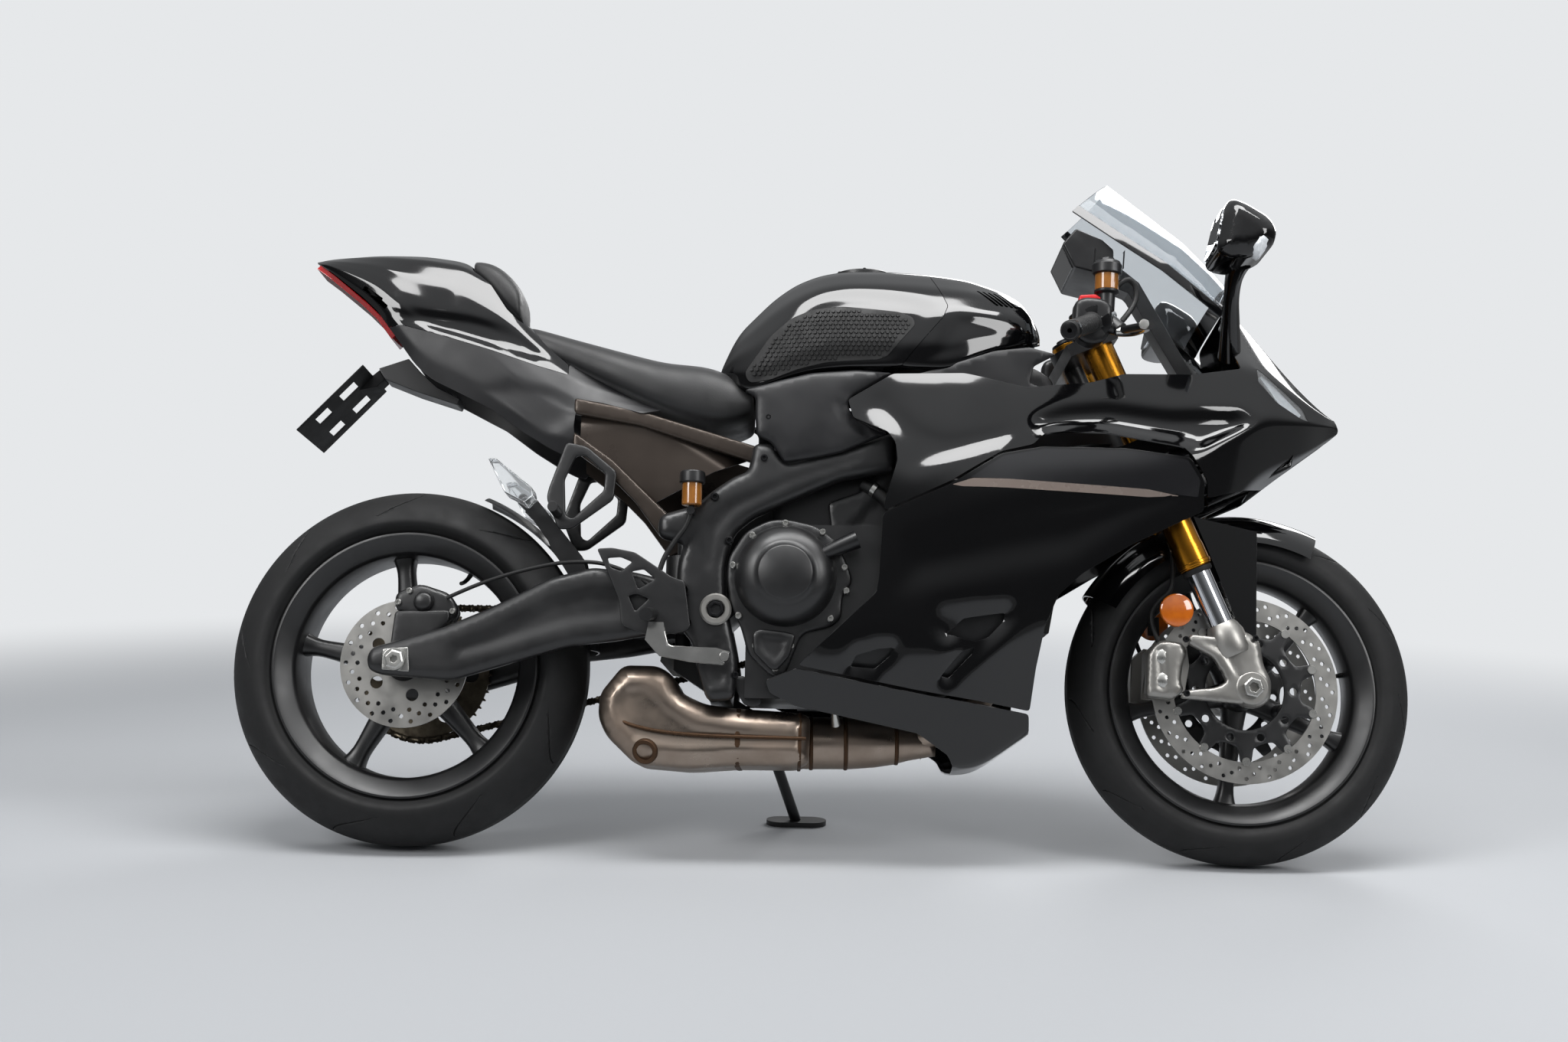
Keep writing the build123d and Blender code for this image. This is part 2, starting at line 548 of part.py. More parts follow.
def cowl_panel(outline, low, high, bosses=()):
    """A thin panel inside a side outline, with bosses that reach in to what carries it."""
    with BuildPart() as panel:
        add(outer_hull.part)
        add(inner_hull.part, mode=Mode.SUBTRACT)
        for x, z, inner_y in bosses:
            across(x, z, inner_y, 240, 9)
            across(x, z, -240, -inner_y, 9)
        add(outer_hull.part, mode=Mode.INTERSECT)
        flat(outline, low, high, mode=Mode.INTERSECT)
    return panel


# side outlines (x, z) of the panels
seam_line = [(92, 572), (205, 622), (290, 676), (360, 690), (500, 690), (608, 677)]
side_outline = seam_line + [(634, 640), (634, 590), (612, 579), (509, 528), (426, 477), (387, 441), (365, 390),
                            (353, 320), (346, 250), (155, 279), (-46, 316), (52, 410), (83, 439), (87, 465)]
belly_outline = [(-49, 311), (155, 274), (345, 245), (352, 150), (351, 140), (226, 140), (210, 173), (158, 208),
                 (30, 234), (-48, 249), (-93, 270), (-100, 291)]
upper_outline = [(108, 824), (31, 774), (40, 741), (99, 715), (112, 696), (115, 663), (94, 590), (93, 576),
                 (203, 626), (289, 680), (359, 694), (500, 694), (612, 681), (640, 640), (640, 612),
                 (759, 649), (822, 698), (893, 750), (915, 764), (903, 792), (842, 861), (775, 953), (727, 1006),
                 (690, 932), (712, 850), (623, 832), (505, 830), (446, 812), (385, 806), (339, 800), (230, 826)]
lamp_outline = [(743, 853), (743, 828), (775, 794), (821, 773), (838, 770), (829, 791)]

side_cowl_right = cowl_panel(side_outline, -250, 0, [(130, 450, case_half + gap)])
side_cowl_left = cowl_panel(side_outline, 0, 250, [(130, 450, case_half + gap)])
belly_cowl = cowl_panel(belly_outline, -250, 250, [(110, 285, case_half + gap)])
with BuildPart() as upper_cowl:
    add(cowl_panel(upper_outline, -250, 250, [(170, 642, barrel_half + gap)]).part)
    flat([(x + dx, z + dz) for (x, z), (dx, dz) in zip(lamp_outline, [(-1, 1), (-1, -1), (0, -1), (0, -1), (1, -1), (1, 1)])],
         -250, 250, mode=Mode.SUBTRACT)
headlamps = cowl_panel(lamp_outline, -250, 250)

# columns: lower edge (x, half width, z), middle (x, z)
screen_rows = [(432, 72, 1156, 508, 1227), (581, 132, 1029, 640, 1112), (689, 150, 932, 726, 1006)]
screen_thick = 4.0


def screen_section(x, half, z, mid_x, mid_z):
    """A crescent across the bike, square to the screen's own surface."""
    rise = hypot(mid_x - x, mid_z - z)
    plane = Plane(origin=(x, 0, z), x_dir=(0, 1, 0), z_dir=(-(mid_z - z), 0, mid_x - x))
    with BuildSketch(plane) as crescent:
        with BuildLine():
            sign = 1 if plane.y_dir.X * (mid_x - x) + plane.y_dir.Z * (mid_z - z) > 0 else -1
            ThreePointArc((-half, 0), (0, sign * rise), (half, 0))
            Line((half, 0), (half - screen_thick, 0))
            ThreePointArc((half - screen_thick, 0), (0, sign * (rise - screen_thick)), (-half + screen_thick, 0))
            Line((-half + screen_thick, 0), (-half, 0))
        make_face()
    return crescent.sketch.faces()[0]


with BuildPart() as windscreen:
    loft([screen_section(*row) for row in screen_rows], ruled=True)

with BuildPart() as cowl_stay:
    flat([(475, 785), (465, 830), (640, 850), (700, 840), (700, 800), (600, 790)], -24, 24)
    flat([(640, 845), (668, 845), (560, 1040), (510, 1080), (504 + gap, 1080), (504 + gap, 1034), (540, 1020)], -24, 24)
    rod((head_low[0], 0, head_low[1]), (head_high[0], 0, head_high[1]), 34 + gap, mode=Mode.SUBTRACT)

with BuildPart() as instrument_panel:
    flat([(413, 1092), (437, 1120), (484, 1100), (504, 1082), (504, 1031), (434, 1048)], -85, 85)

with BuildPart() as mirrors:
    flat([(651, 1092), (639, 1065), (625, 991), (663, 983), (692, 989), (724, 1007), (732, 1033), (719, 1060),
          (674, 1086)], -365, -220)
    rod((722, -60, 875), (690, -235, 1000), 10)
    add(envelope(-gap).part, mode=Mode.SUBTRACT)
    mirror(about=Plane.XZ)

def block_front(z):
    """Where a stay meets the cylinder block's front face at this height."""
    (x0, z0), (x1, z1) = block_face
    return x0 + (z - z0) * (x1 - x0) / (z1 - z0) + 2 * gap


with BuildPart() as radiator:
    flat([(340, 380), (375, 380), (430, 680), (395, 680)], -case_half - 20, case_half + 20)
    for low, high in ((-42, -30), (30, 42)):
        flat([(block_front(630), 630), (block_front(648), 648), (400, 648), (395, 630)], low, high)

# ---- tank, seats and tail
cap_x, cap_z, cap_radius = 60.0, 1046.0, 44.0
cap_hinge_x, cap_hinge_z = cap_x + cap_radius + 6, cap_z + 4
tank_front_line = [(165, 1041), (203, 953), (194, 930), tank_floor[0]]
with BuildPart() as fuel_tank:
    flat([(-149, 794), (-192, 835), (-183, 886), (-166, 925), (-139, 952), (-104, 989), (-63, 1019), (-21, 1037),
          (21, 1045), (91, 1045)] + tank_front_line + [tank_floor[1], (-33, 827), (-86, 813)], -tank_half, tank_half)
    front_view([(150, 790), (tank_half, 860), (tank_half - 6, 930), (tank_half - 34, 985), (90, 1025), (40, 1046)])
    top_view([(-195, 95), (-120, 128), (-20, 158), (60, tank_half), (210, tank_half)])
    rod((cap_x, 0, cap_z - 6), (cap_x, 0, 1100), cap_radius + 3, mode=Mode.SUBTRACT)

with BuildPart() as tank_cover:
    flat([(x + seam, z) for x, z in tank_front_line] + [(218, 832), (272, 866), (360, 901), (370, 925),
         (362, 962), (340, 998), (301, 1015), (245, 1033)], -tank_half, tank_half)
    front_view([(150, 790), (tank_half, 860), (tank_half - 6, 930), (tank_half - 34, 985), (90, 1025), (40, 1046)])
    top_view([(100, tank_half), (210, tank_half), (300, 130), (375, 95)])

with BuildPart() as fuel_cap:
    rod((cap_x, 0, cap_z - 6 + gap), (cap_x, 0, cap_z + 2), cap_radius)
    flat([(cap_x + cap_radius - 6, cap_z + 1), (cap_hinge_x + 3, cap_z + 1), (cap_hinge_x + 3, cap_hinge_z + 3),
          (cap_x + cap_radius - 6, cap_z + 3)], -9, 9)
    across(cap_hinge_x, cap_hinge_z, -12, 12, 3)

with BuildPart() as knee_panels:
    flat([(-149, 792), (-86, 811), (-33, 825), (46, 832), (109, 828), (38, 783), (31, 770), (41, 746), (100, 720),
          (22, 685), (-30, 673), (-76, 665), (-99, 700), (-125, 712), (-125, 745), (-125, 780)],
         -spar_out - 8, -spar_out - gap)
    mirror(about=Plane.XZ)

seat_base = [(-518, 879), (-462, 849), (-380, 809), (-299, 769)]
with BuildPart() as rider_seat:
    flat([(-536, 926), (-479, 909), (-395, 885), (-324, 866), (-282, 858), (-234, 858), (-196, 850),
          (-196, 836), (-152, 793), (-134, 780), (-138, 759), (-191, 742), (-245, 750)] + seat_base[::-1],
         -seat_half, seat_half)
    top_view([(-540, 70), (-440, 95), (-330, seat_half), (-230, seat_half), (-130, 105)])

pillion_base = [(-553, 935), (-575, 950), (-610, 1000), (-645, 1030)]
with BuildPart() as pillion_seat:
    flat([(-645, 1046), (-612, 1045), (-585, 1025), (-557, 1000), (-551, 979), (-546, 955)] + pillion_base, -72, 72)

tail_under = [(-538, 724), (-594, 764), (-662, 797), (-704, 817), (-735, 844)]
tail_back = [(-783, 909), (-810, 944), (-840, 972), (-898, 1018), (-926, 1038)]
with BuildPart() as tail_cowl:
    flat([(-934, 1047), (-901, 1054), (-824, 1060), (-739, 1060), (-645 - gap, 1046)]
         + [(x - gap, z - gap) for x, z in pillion_base[::-1]] + [(-540, 920)]
         + [(x - gap, z - gap) for x, z in seat_base] + [(-326, 761), (-445.5, 784), (-446, 674), (-483, 691)]
         + tail_under + tail_back, -120, 120)
    front_view([(112, 660), (116, 800), (108, 900), (96, 980), (70, 1040), (50, 1062)])
    top_view([(-940, 42), (-800, 78), (-640, 100), (-500, 112), (-290, 118)])

lamp_offset = 7.0
with BuildPart() as tail_lamp:
    flat([(x - gap, z - gap) for x, z in tail_back] + [(x - lamp_offset, z - lamp_offset) for x, z in tail_back[::-1]],
         -38, 38)

with BuildPart() as plate_hanger:
    flat([(x - gap, z - gap) for x, z in tail_under[2:]] + [(-759, 869), (-812, 850), (-800, 830), (-742, 808),
         (-667, 785)], -28, 28)

plate_low, plate_high = (-935, 719), (-825, 839)
with BuildPart() as number_plate:
    (x0, z0), (x1, z1) = plate_low, plate_high
    run = hypot(x1 - x0, z1 - z0)
    nx, nz = (z1 - z0) / run, -(x1 - x0) / run
    flat([(x0, z0), (x1, z1), (x1 + 3 * nx, z1 + 3 * nz), (x0 + 3 * nx, z0 + 3 * nz)], -95, 95)
    for start, end in ((0.22, 0.40), (0.58, 0.80)):
        corners = [(x0 + at * (x1 - x0) + off * nx, z0 + at * (z1 - z0) + off * nz)
                   for at, off in ((start, -1), (end, -1), (end, 4), (start, 4))]
        for low, high in ((-70, -30), (30, 70)):
            flat(corners, low, high, mode=Mode.SUBTRACT)
    flat([(-850, 810), (-828, 835), (-812, 849), (-802, 832), (-815, 818)], -20, 20)

# ---- foot controls
with BuildPart() as rider_footrests:
    flat([(-391, 508), (-365, 510), (-326, 503), (-262, 462), (-240, 455), (-228, 377), (-240, 368), (-300, 362),
          (-345, 378)], -spar_out - 18, -spar_out - 12)
    across(-243, 440, -spar_out - 13, -spar_out - gap, 9)
    across(-236, 385, -spar_out - 13, -spar_out - gap, 9)
    rod((-294, -spar_out - 12, 399), (-298, -spar_out - 95, 388), 11)
    mirror(about=Plane.XZ)

with BuildPart() as foot_levers:
    flat([(-302, 352), (-278, 326), (-227, 317), (-170, 313), (-160, 335), (-183, 341), (-266, 342), (-272, 382),
          (-297, 382)], -spar_out - 40, -spar_out - 30)
    across(-285, 372, -spar_out - 40, -spar_out - 18 - gap, 7)
    rod((-168, -spar_out - 31, 325), (-168, -spar_out - 62, 325), 8)
    mirror(about=Plane.XZ)

with BuildPart() as pillion_footrests:
    flat([(-454, 700), (-420, 692), (-368, 648), (-372, 603), (-442, 548), (-462, 547), (-484, 614)],
         -rail_out - 10, -rail_out - gap)
    flat([(-455, 645), (-435, 648), (-395, 622), (-396, 606), (-448, 570)], -rail_out - 11, -rail_out + 1,
         mode=Mode.SUBTRACT)
    rod((-466, -rail_out - 5, 575), (-466, -rail_out - 75, 575), 9)
    mirror(about=Plane.XZ)

with BuildPart() as brake_reservoir:
    rod((-232, -spar_out - 22, 582), (-233, -spar_out - 22, 622), 17)
    rod((-233, -spar_out - 22, 622), (-233, -spar_out - 22, 644), 22)
    across(-233, 575, -spar_out - 30, -spar_out - gap, 7)

# ---- exhaust under the engine
port_x, port_z, port_pitch = 238.0, 592.0, 72.0
port_run = Vector(145, 0, -80).normalized()  # square to the cylinder block's front face
with BuildPart() as exhaust:
    flat([(-384, 228), (-370, 196), (-317, 146), (-226, 140), (-149, 148), (-45, 149), (-20, 160), (-20, 236),
          (-60, 242), (-151, 246), (-203, 252), (-243, 270), (-257, 300), (-284, 318), (-345, 318), (-382, 267)],
         -135, 95)
    rod((-30, -20, 198), (170, -6, 204), 34)
    for side in (-1, 0, 1):
        port = Vector(port_x, side * port_pitch, port_z)
        start, knee = port + port_run * gap, port + port_run * 72
        pipe([tuple(start), tuple(knee), (310, side * port_pitch, 330), (235, side * 46, 226), (150, side * 10, 204)],
             22, [50, 60, 60])

# ---- side stand, on a pin square to its swing
ground_up = Vector(0, -sin(lean_r), cos(lean_r))  # the ground's normal, seen from the upright bike
stand_pivot = Vector(-107, 138, 236)
stand_foot = Vector(-42, 270 * cos(lean_r), 270 * sin(lean_r)) - ground_up * rear_drop
stand_folded = Vector(-1, 0.08, 0)
stand_run = (stand_foot - stand_pivot).normalized()
stand_axis = stand_run.cross(stand_folded).normalized()
stand_range = degrees(stand_run.get_angle(stand_folded) * pi / 180)
stand_hub, stand_pin = 17.0, 6.0
with BuildPart() as side_stand:
    rod(stand_pivot, stand_foot + ground_up * 5, 10)
    rod(stand_pivot - stand_axis * 12, stand_pivot + stand_axis * 12, stand_hub)
    rod(stand_pivot - stand_axis * 13, stand_pivot + stand_axis * 13, stand_pin + bearing, mode=Mode.SUBTRACT)
    with BuildSketch(Plane(origin=stand_foot, x_dir=(1, 0, 0), z_dir=ground_up)) as foot:
        SlotOverall(112, 56)
    extrude(foot.sketch, amount=9)

with main_frame:
    rod(stand_pivot - stand_axis * 30, stand_pivot - stand_axis * (12 + gap), stand_hub)
    rod(stand_pivot - stand_axis * 30, stand_pivot + stand_axis * 15, stand_pin)
    flat([(-190, 258), (-190, 298), (-130, 262), (-92, 244), (-92, 214), (-122, 204)], 100, 114)

pieces = {
    "main_frame": main_frame,
    "subframe": subframe,
    "engine": engine,
    "engine_covers": engine_covers,
    "swingarm": swingarm,
    "shock_absorber": shock_absorber,
    "rear_axle": rear_axle,
    "rear_caliper": rear_caliper,
    "rear_hugger": rear_hugger,
    "rear_indicators": rear_indicators,
    "drive_chain": drive_chain,
    "front_sprocket": front_sprocket,
    "fuel_tank": fuel_tank,
    "tank_cover": tank_cover,
    "knee_panels": knee_panels,
    "rider_seat": rider_seat,
    "pillion_seat": pillion_seat,
    "tail_cowl": tail_cowl,
    "tail_lamp": tail_lamp,
    "plate_hanger": plate_hanger,
    "number_plate": number_plate,
    "rider_footrests": rider_footrests,
    "foot_levers": foot_levers,
    "pillion_footrests": pillion_footrests,
    "brake_reservoir": brake_reservoir,
    "exhaust": exhaust,
    "radiator": radiator,
    "side_cowl_right": side_cowl_right,
    "side_cowl_left": side_cowl_left,
    "belly_cowl": belly_cowl,
    "upper_cowl": upper_cowl,
    "headlamps": headlamps,
    "windscreen": windscreen,
    "cowl_stay": cowl_stay,
    "instrument_panel": instrument_panel,
    "mirrors": mirrors,
    "triple_clamps": triple_clamps,
    "fork_outer_tubes": fork_outer_tubes,
    "fork_inner_tubes": fork_inner_tubes,
    "fork_feet": fork_feet,
    "front_axle": front_axle,
    "front_calipers": front_calipers,
    "front_mudguard": front_mudguard,
    "handlebars": handlebars,
    "grips": grips,
    "hand_controls": hand_controls,
    "front_tyre": front_tyre,
    "front_rim": front_rim,
    "front_discs": front_discs,
    "rear_tyre": rear_tyre,
    "rear_rim": rear_rim,
    "rear_disc": rear_disc,
    "rear_sprocket": rear_sprocket,
    "side_stand": side_stand,
    "fuel_cap": fuel_cap,
}

# ---- lean every piece, stand the bike on the ground and centre it on its own box
leaned = {label: piece.part.moved(Location((0, 0, 0), (-lean, 0, 0))) for label, piece in pieces.items()}
box = Compound(children=[solid for part in leaned.values() for solid in part.solids()]).bounding_box()
shift = Vector(-(box.min.X + box.max.X) / 2, -(box.min.Y + box.max.Y) / 2, rear_drop)

os.makedirs("parts", exist_ok=True)
for label, part in leaned.items():
    placed = part.moved(Location(shift))
    placed.label = label
    export_step(placed, f"parts/{label}.step")
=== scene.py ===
import bmesh
import bpy
import json
import numpy as np
from math import atan2, cos, degrees, pi, radians, sin
from mathutils import Matrix, Vector
from mathutils.geometry import delaunay_2d_cdt


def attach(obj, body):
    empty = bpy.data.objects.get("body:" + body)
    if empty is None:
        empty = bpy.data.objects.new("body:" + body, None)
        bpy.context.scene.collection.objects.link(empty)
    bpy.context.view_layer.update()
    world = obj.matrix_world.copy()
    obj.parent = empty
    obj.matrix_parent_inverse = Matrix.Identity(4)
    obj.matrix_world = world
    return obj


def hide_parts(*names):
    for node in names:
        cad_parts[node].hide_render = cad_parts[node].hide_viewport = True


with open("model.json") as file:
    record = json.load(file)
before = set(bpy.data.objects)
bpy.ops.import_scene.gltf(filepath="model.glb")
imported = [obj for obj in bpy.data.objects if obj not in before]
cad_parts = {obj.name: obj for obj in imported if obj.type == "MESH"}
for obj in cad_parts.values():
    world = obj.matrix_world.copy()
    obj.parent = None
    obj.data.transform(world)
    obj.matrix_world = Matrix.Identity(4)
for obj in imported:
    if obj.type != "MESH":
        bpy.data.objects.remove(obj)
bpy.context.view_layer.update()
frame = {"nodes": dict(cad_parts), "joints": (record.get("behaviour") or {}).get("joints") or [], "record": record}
print("frame loaded:", len(frame["nodes"]), "nodes")

# Everything is drawn on the upright bike in millimetres: x forward, y to its left, z up.
# toFrame leans it onto the side stand and brings it into the frame, in metres.
axleJoint = next(joint for joint in frame["joints"] if joint["name"] == "front_wheel_spin")
frontAxle, rearAxle = Vector((725, 0, 299.08)), Vector((-725, 0, 313))
lean = atan2(-axleJoint["axis"][2], axleJoint["axis"][1])
toFrame = (Matrix.Translation(axleJoint["pos_m"]) @ Matrix.Rotation(-lean, 4, "X")
           @ Matrix.Scale(0.001, 4) @ Matrix.Translation(-frontAxle))
fromFrame = toFrame.inverted()
bikeOrigin = toFrame @ Vector((0, 0, 0))
steerRake = radians(23.2)
forkHalfSpacing = 105.0

bodyOf = {node: body for body, nodes in frame["record"]["behaviour"]["bodies"].items() for node in nodes}


# finishes
def linearColour(hexText, alpha=1.0):
    parts = [int(hexText[i:i + 2], 16) / 255 for i in (0, 2, 4)]
    return [c / 12.92 if c <= 0.04045 else ((c + 0.055) / 1.055) ** 2.4 for c in parts] + [alpha]


def addNode(tree, kind, settings=None, links=None):
    # capitalised or numbered settings are sockets, the rest are the node's own options
    node = tree.nodes.new(kind)
    for key, value in (settings or {}).items():
        if isinstance(key, int) or key[0].isupper():
            node.inputs[key].default_value = value
        else:
            setattr(node, key, value)
    for key, source in (links or {}).items():
        tree.links.new(source, node.inputs[key])
    return node


def startMaterial(name, settings):
    material = bpy.data.materials.new(name)
    material.use_nodes = True
    tree = material.node_tree
    tree.nodes.clear()
    shader = addNode(tree, "ShaderNodeBsdfPrincipled", settings)
    addNode(tree, "ShaderNodeOutputMaterial", links={"Surface": shader.outputs[0]})
    coords = addNode(tree, "ShaderNodeTexCoord")
    # the Texture mapping undoes the lean, so patterns are placed in the bike's own millimetres
    place = addNode(tree, "ShaderNodeMapping",
                    {"vector_type": "TEXTURE", "Location": bikeOrigin, "Rotation": (-lean, 0, 0),
                     "Scale": (0.001, 0.001, 0.001)}, {"Vector": coords.outputs["Object"]})
    return material, tree, shader, place.outputs[0]


# Each finish: two tones and their patch size (mm), roughness low and high,
# grain size and depth (mm), then the shader's own settings.
finishes = {
    # black acrylic lacquer under clear coat: deep, with sharp reflections and faint wash marks
    "glossBlackLacquer": {"tones": ("040405", "070708"), "patch": 180, "rough": (0.06, 0.10),
                          "grain": (3.0, 0.0004), "shader": {"Coat Weight": 0.25, "Coat Roughness": 0.02}},
    # charcoal metallic film along the side cowl's top
    "charcoalLacquer": {"tones": ("1d1d1f", "232325"), "patch": 90, "rough": (0.10, 0.16),
                        "grain": (0.7, 0.001), "shader": {"Metallic": 0.35, "Coat Weight": 0.6, "Coat Roughness": 0.03}},
    # warm grey film stripe under it
    "greyVinylFilm": {"tones": ("6a5f59", "756a63"), "patch": 60, "rough": (0.22, 0.30),
                      "grain": (0.9, 0.001), "shader": {"Coat Weight": 0.4, "Coat Roughness": 0.08}},
    # black polyester powder coat on cast aluminium: satin, slightly pebbled
    "satinBlackPowderCoat": {"tones": ("101011", "171718"), "patch": 90, "rough": (0.30, 0.42),
                             "grain": (1.8, 0.035), "shader": {"Specular IOR Level": 0.6}},
    # brown-black anodic coat on the seat rails: warm and metallic
    "bronzeAnodisedAluminium": {"tones": ("3a332e", "48403a"), "patch": 120, "rough": (0.26, 0.36),
                                "grain": (1.0, 0.01), "shader": {"Metallic": 0.6}},
    # gold anodised fork tube: drawn aluminium
    "goldAnodisedAluminium": {"tones": ("c78a2e", "ad741f"), "patch": 60, "rough": (0.18, 0.28),
                              "grain": (0.6, 0.003), "shader": {"Metallic": 1.0}},
    # hard chrome plate on ground steel: mirror bright
    "hardChromePlate": {"tones": ("d2d4d8", "c4c6cb"), "patch": 60, "rough": (0.05, 0.10),
                        "grain": (0.5, 0.0008), "shader": {"Metallic": 1.0}},
    # bare cast aluminium of the fork feet and calipers, lightly blasted
    "castAluminium": {"tones": ("93918d", "a09e9a"), "patch": 60, "rough": (0.34, 0.44),
                      "grain": (1.0, 0.012), "shader": {"Metallic": 0.9}},
    # zinc plated steel of screws and nuts
    "zincPlatedSteel": {"tones": ("b4b4b1", "c2c1bd"), "patch": 20, "rough": (0.26, 0.32),
                        "grain": (0.5, 0.004), "shader": {"Metallic": 1.0}},
    # black oxide steel of screws
    "blackOxideSteel": {"tones": ("141415", "222224"), "patch": 8, "rough": (0.28, 0.40),
                        "grain": (0.5, 0.004), "shader": {"Metallic": 0.7}},
    # ground stainless steel of the brake discs: fine circular grind
    "groundStainlessSteel": {"tones": ("a09f9c", "b0aeaa"), "patch": 30, "rough": (0.30, 0.40),
                             "grain": (1.2, 0.003), "shader": {"Metallic": 1.0}},
    # polished forging of the pedal, lever and pegs
    "polishedAluminium": {"tones": ("bcbbb8", "cfcecb"), "patch": 30, "rough": (0.14, 0.24),
                          "grain": (0.6, 0.003), "shader": {"Metallic": 1.0}},
    # tread rubber: dull, faintly dusty
    "tyreRubber": {"tones": ("111112", "1b1b1b"), "patch": 45, "rough": (0.60, 0.78),
                   "grain": (1.2, 0.04), "shader": {"Specular IOR Level": 0.35}},
    # moulded rubber of grips, hoses and seals
    "mouldedRubber": {"tones": ("0c0c0d", "141414"), "patch": 25, "rough": (0.50, 0.64),
                      "grain": (0.9, 0.02), "shader": {"Specular IOR Level": 0.4}},
    # textured ABS: fine spark-eroded grain, mid sheen
    "texturedAbs": {"tones": ("111113", "171719"), "patch": 70, "rough": (0.36, 0.48),
                    "grain": (0.9, 0.05), "shader": {"Specular IOR Level": 0.5}},
    # smooth injection moulded polypropylene of guards and brackets
    "mouldedPolypropylene": {"tones": ("0d0d0e", "131315"), "patch": 60, "rough": (0.28, 0.40),
                             "grain": (1.4, 0.012), "shader": {"Specular IOR Level": 0.5}},
    # matt moulded polypropylene of the plate, blank on both faces
    "mattPolypropylene": {"tones": ("0b0b0c", "101011"), "patch": 60, "rough": (0.62, 0.74),
                          "grain": (1.4, 0.02), "shader": {"Specular IOR Level": 0.2}},
    # vacuum formed vinyl seat cover: fine leather grain, soft sheen
    "seatVinyl": {"tones": ("0d0d0e", "151516"), "patch": 55, "rough": (0.42, 0.56),
                  "grain": (1.6, 0.14), "shader": {"Specular IOR Level": 0.5, "Sheen Weight": 0.12}},
    # oiled chain steel, dark in the gaps
    "oiledChainSteel": {"tones": ("4d463c", "7d7464"), "patch": 9, "rough": (0.28, 0.46),
                        "grain": (0.8, 0.02), "shader": {"Metallic": 0.95}},
    # radiator core lacquer, matt black
    "radiatorLacquer": {"tones": ("0a0a0b", "131313"), "patch": 40, "rough": (0.55, 0.70),
                        "grain": (1.0, 0.02), "shader": {"Metallic": 0.4}},
    # stainless silencer skin, blued and browned by heat
    "heatTintedSteel": {"tones": ("a89c91", "7c6c5f"), "patch": 75, "rough": (0.26, 0.46),
                        "grain": (1.2, 0.03), "shader": {"Metallic": 1.0}},
    # oxidised weld bead and clamp
    "oxidisedWeld": {"tones": ("3b2c22", "57412f"), "patch": 12, "rough": (0.45, 0.65),
                     "grain": (1.5, 0.15), "shader": {"Metallic": 0.85}},
    # red acrylic lens
    "redAcrylic": {"tones": ("8e0a0c", "b01013"), "patch": 20, "rough": (0.08, 0.14),
                   "grain": (1.2, 0.01), "shader": {"Coat Weight": 1.0}},
    # amber acrylic of reflectors and fluid pots
    "amberAcrylic": {"tones": ("a84a08", "d0700f"), "patch": 12, "rough": (0.08, 0.16),
                     "grain": (1.2, 0.02), "shader": {"Coat Weight": 1.0}},
    # clear brown polycarbonate of the fluid pots, with fluid behind it
    "fluidPotPolycarbonate": {"tones": ("6e4312", "8f5a1c"), "patch": 14, "rough": (0.10, 0.18),
                              "grain": (1.4, 0.01), "shader": {"Coat Weight": 0.6}},
    # black glass of the dash display, switched off
    "displayGlass": {"tones": ("07080a", "0b0c0f"), "patch": 60, "rough": (0.04, 0.08),
                     "grain": (3.0, 0.0004), "shader": {"Coat Weight": 0.4}},
    # red moulded switch
    "redAbs": {"tones": ("b01218", "c4161c"), "patch": 12, "rough": (0.28, 0.36),
               "grain": (0.8, 0.01), "shader": {}},
    # clear polycarbonate lens
    "clearPolycarbonate": {"tones": ("eef1f3", "f6f8f9"), "patch": 30, "rough": (0.02, 0.05),
                           "grain": (2.0, 0.002), "shader": {"Transmission Weight": 0.95, "IOR": 1.58}},
    # frosted light guide behind a lens
    "frostedLightGuide": {"tones": ("c9cdd1", "dfe2e5"), "patch": 6, "rough": (0.25, 0.4),
                          "grain": (2.5, 0.08), "shader": {"Specular IOR Level": 0.6}},
    # tinted acrylic screen, thin enough to see through
    "tintedAcrylic": {"tones": ("cdd2d6", "d3d8dc"), "patch": 80, "rough": (0.01, 0.03),
                      "grain": (6.0, 0.0006), "shader": {"Transmission Weight": 0.97, "IOR": 1.2}},
    # silvered glass of the mirrors
    "silveredGlass": {"tones": ("dcdee1", "d3d6da"), "patch": 60, "rough": (0.01, 0.03),
                      "grain": (3.0, 0.0005), "shader": {"Metallic": 1.0}},
}


def makeFinish(name):
    spec = finishes[name]
    material, tree, shader, coords = startMaterial(name, spec["shader"])
    patches = addNode(tree, "ShaderNodeTexNoise", {"Scale": 1 / spec["patch"], "Detail": 4.0, "Roughness": 0.6},
                      {"Vector": coords})
    tone = addNode(tree, "ShaderNodeMix", {"data_type": "RGBA", 6: linearColour(spec["tones"][0]),
                                           7: linearColour(spec["tones"][1])}, {0: patches.outputs[0]})
    tree.links.new(tone.outputs[2], shader.inputs["Base Color"])
    lowRough, highRough = spec["rough"]
    rough = addNode(tree, "ShaderNodeMapRange", {"From Min": 0.35, "From Max": 0.65, "To Min": lowRough,
                                                 "To Max": highRough}, {"Value": patches.outputs[0]})
    tree.links.new(rough.outputs[0], shader.inputs["Roughness"])
    grainSize, grainDepth = spec["grain"]
    grain = addNode(tree, "ShaderNodeTexNoise", {"Scale": 1 / grainSize, "Detail": 2.0}, {"Vector": coords})
    bump = addNode(tree, "ShaderNodeBump", {"Strength": 1.0, "Distance": grainDepth / 1000},
                   {"Height": grain.outputs[0]})
    tree.links.new(bump.outputs[0], shader.inputs["Normal"])
    return material


materials = {name: makeFinish(name) for name in finishes}
print("finishes made:", len(materials))


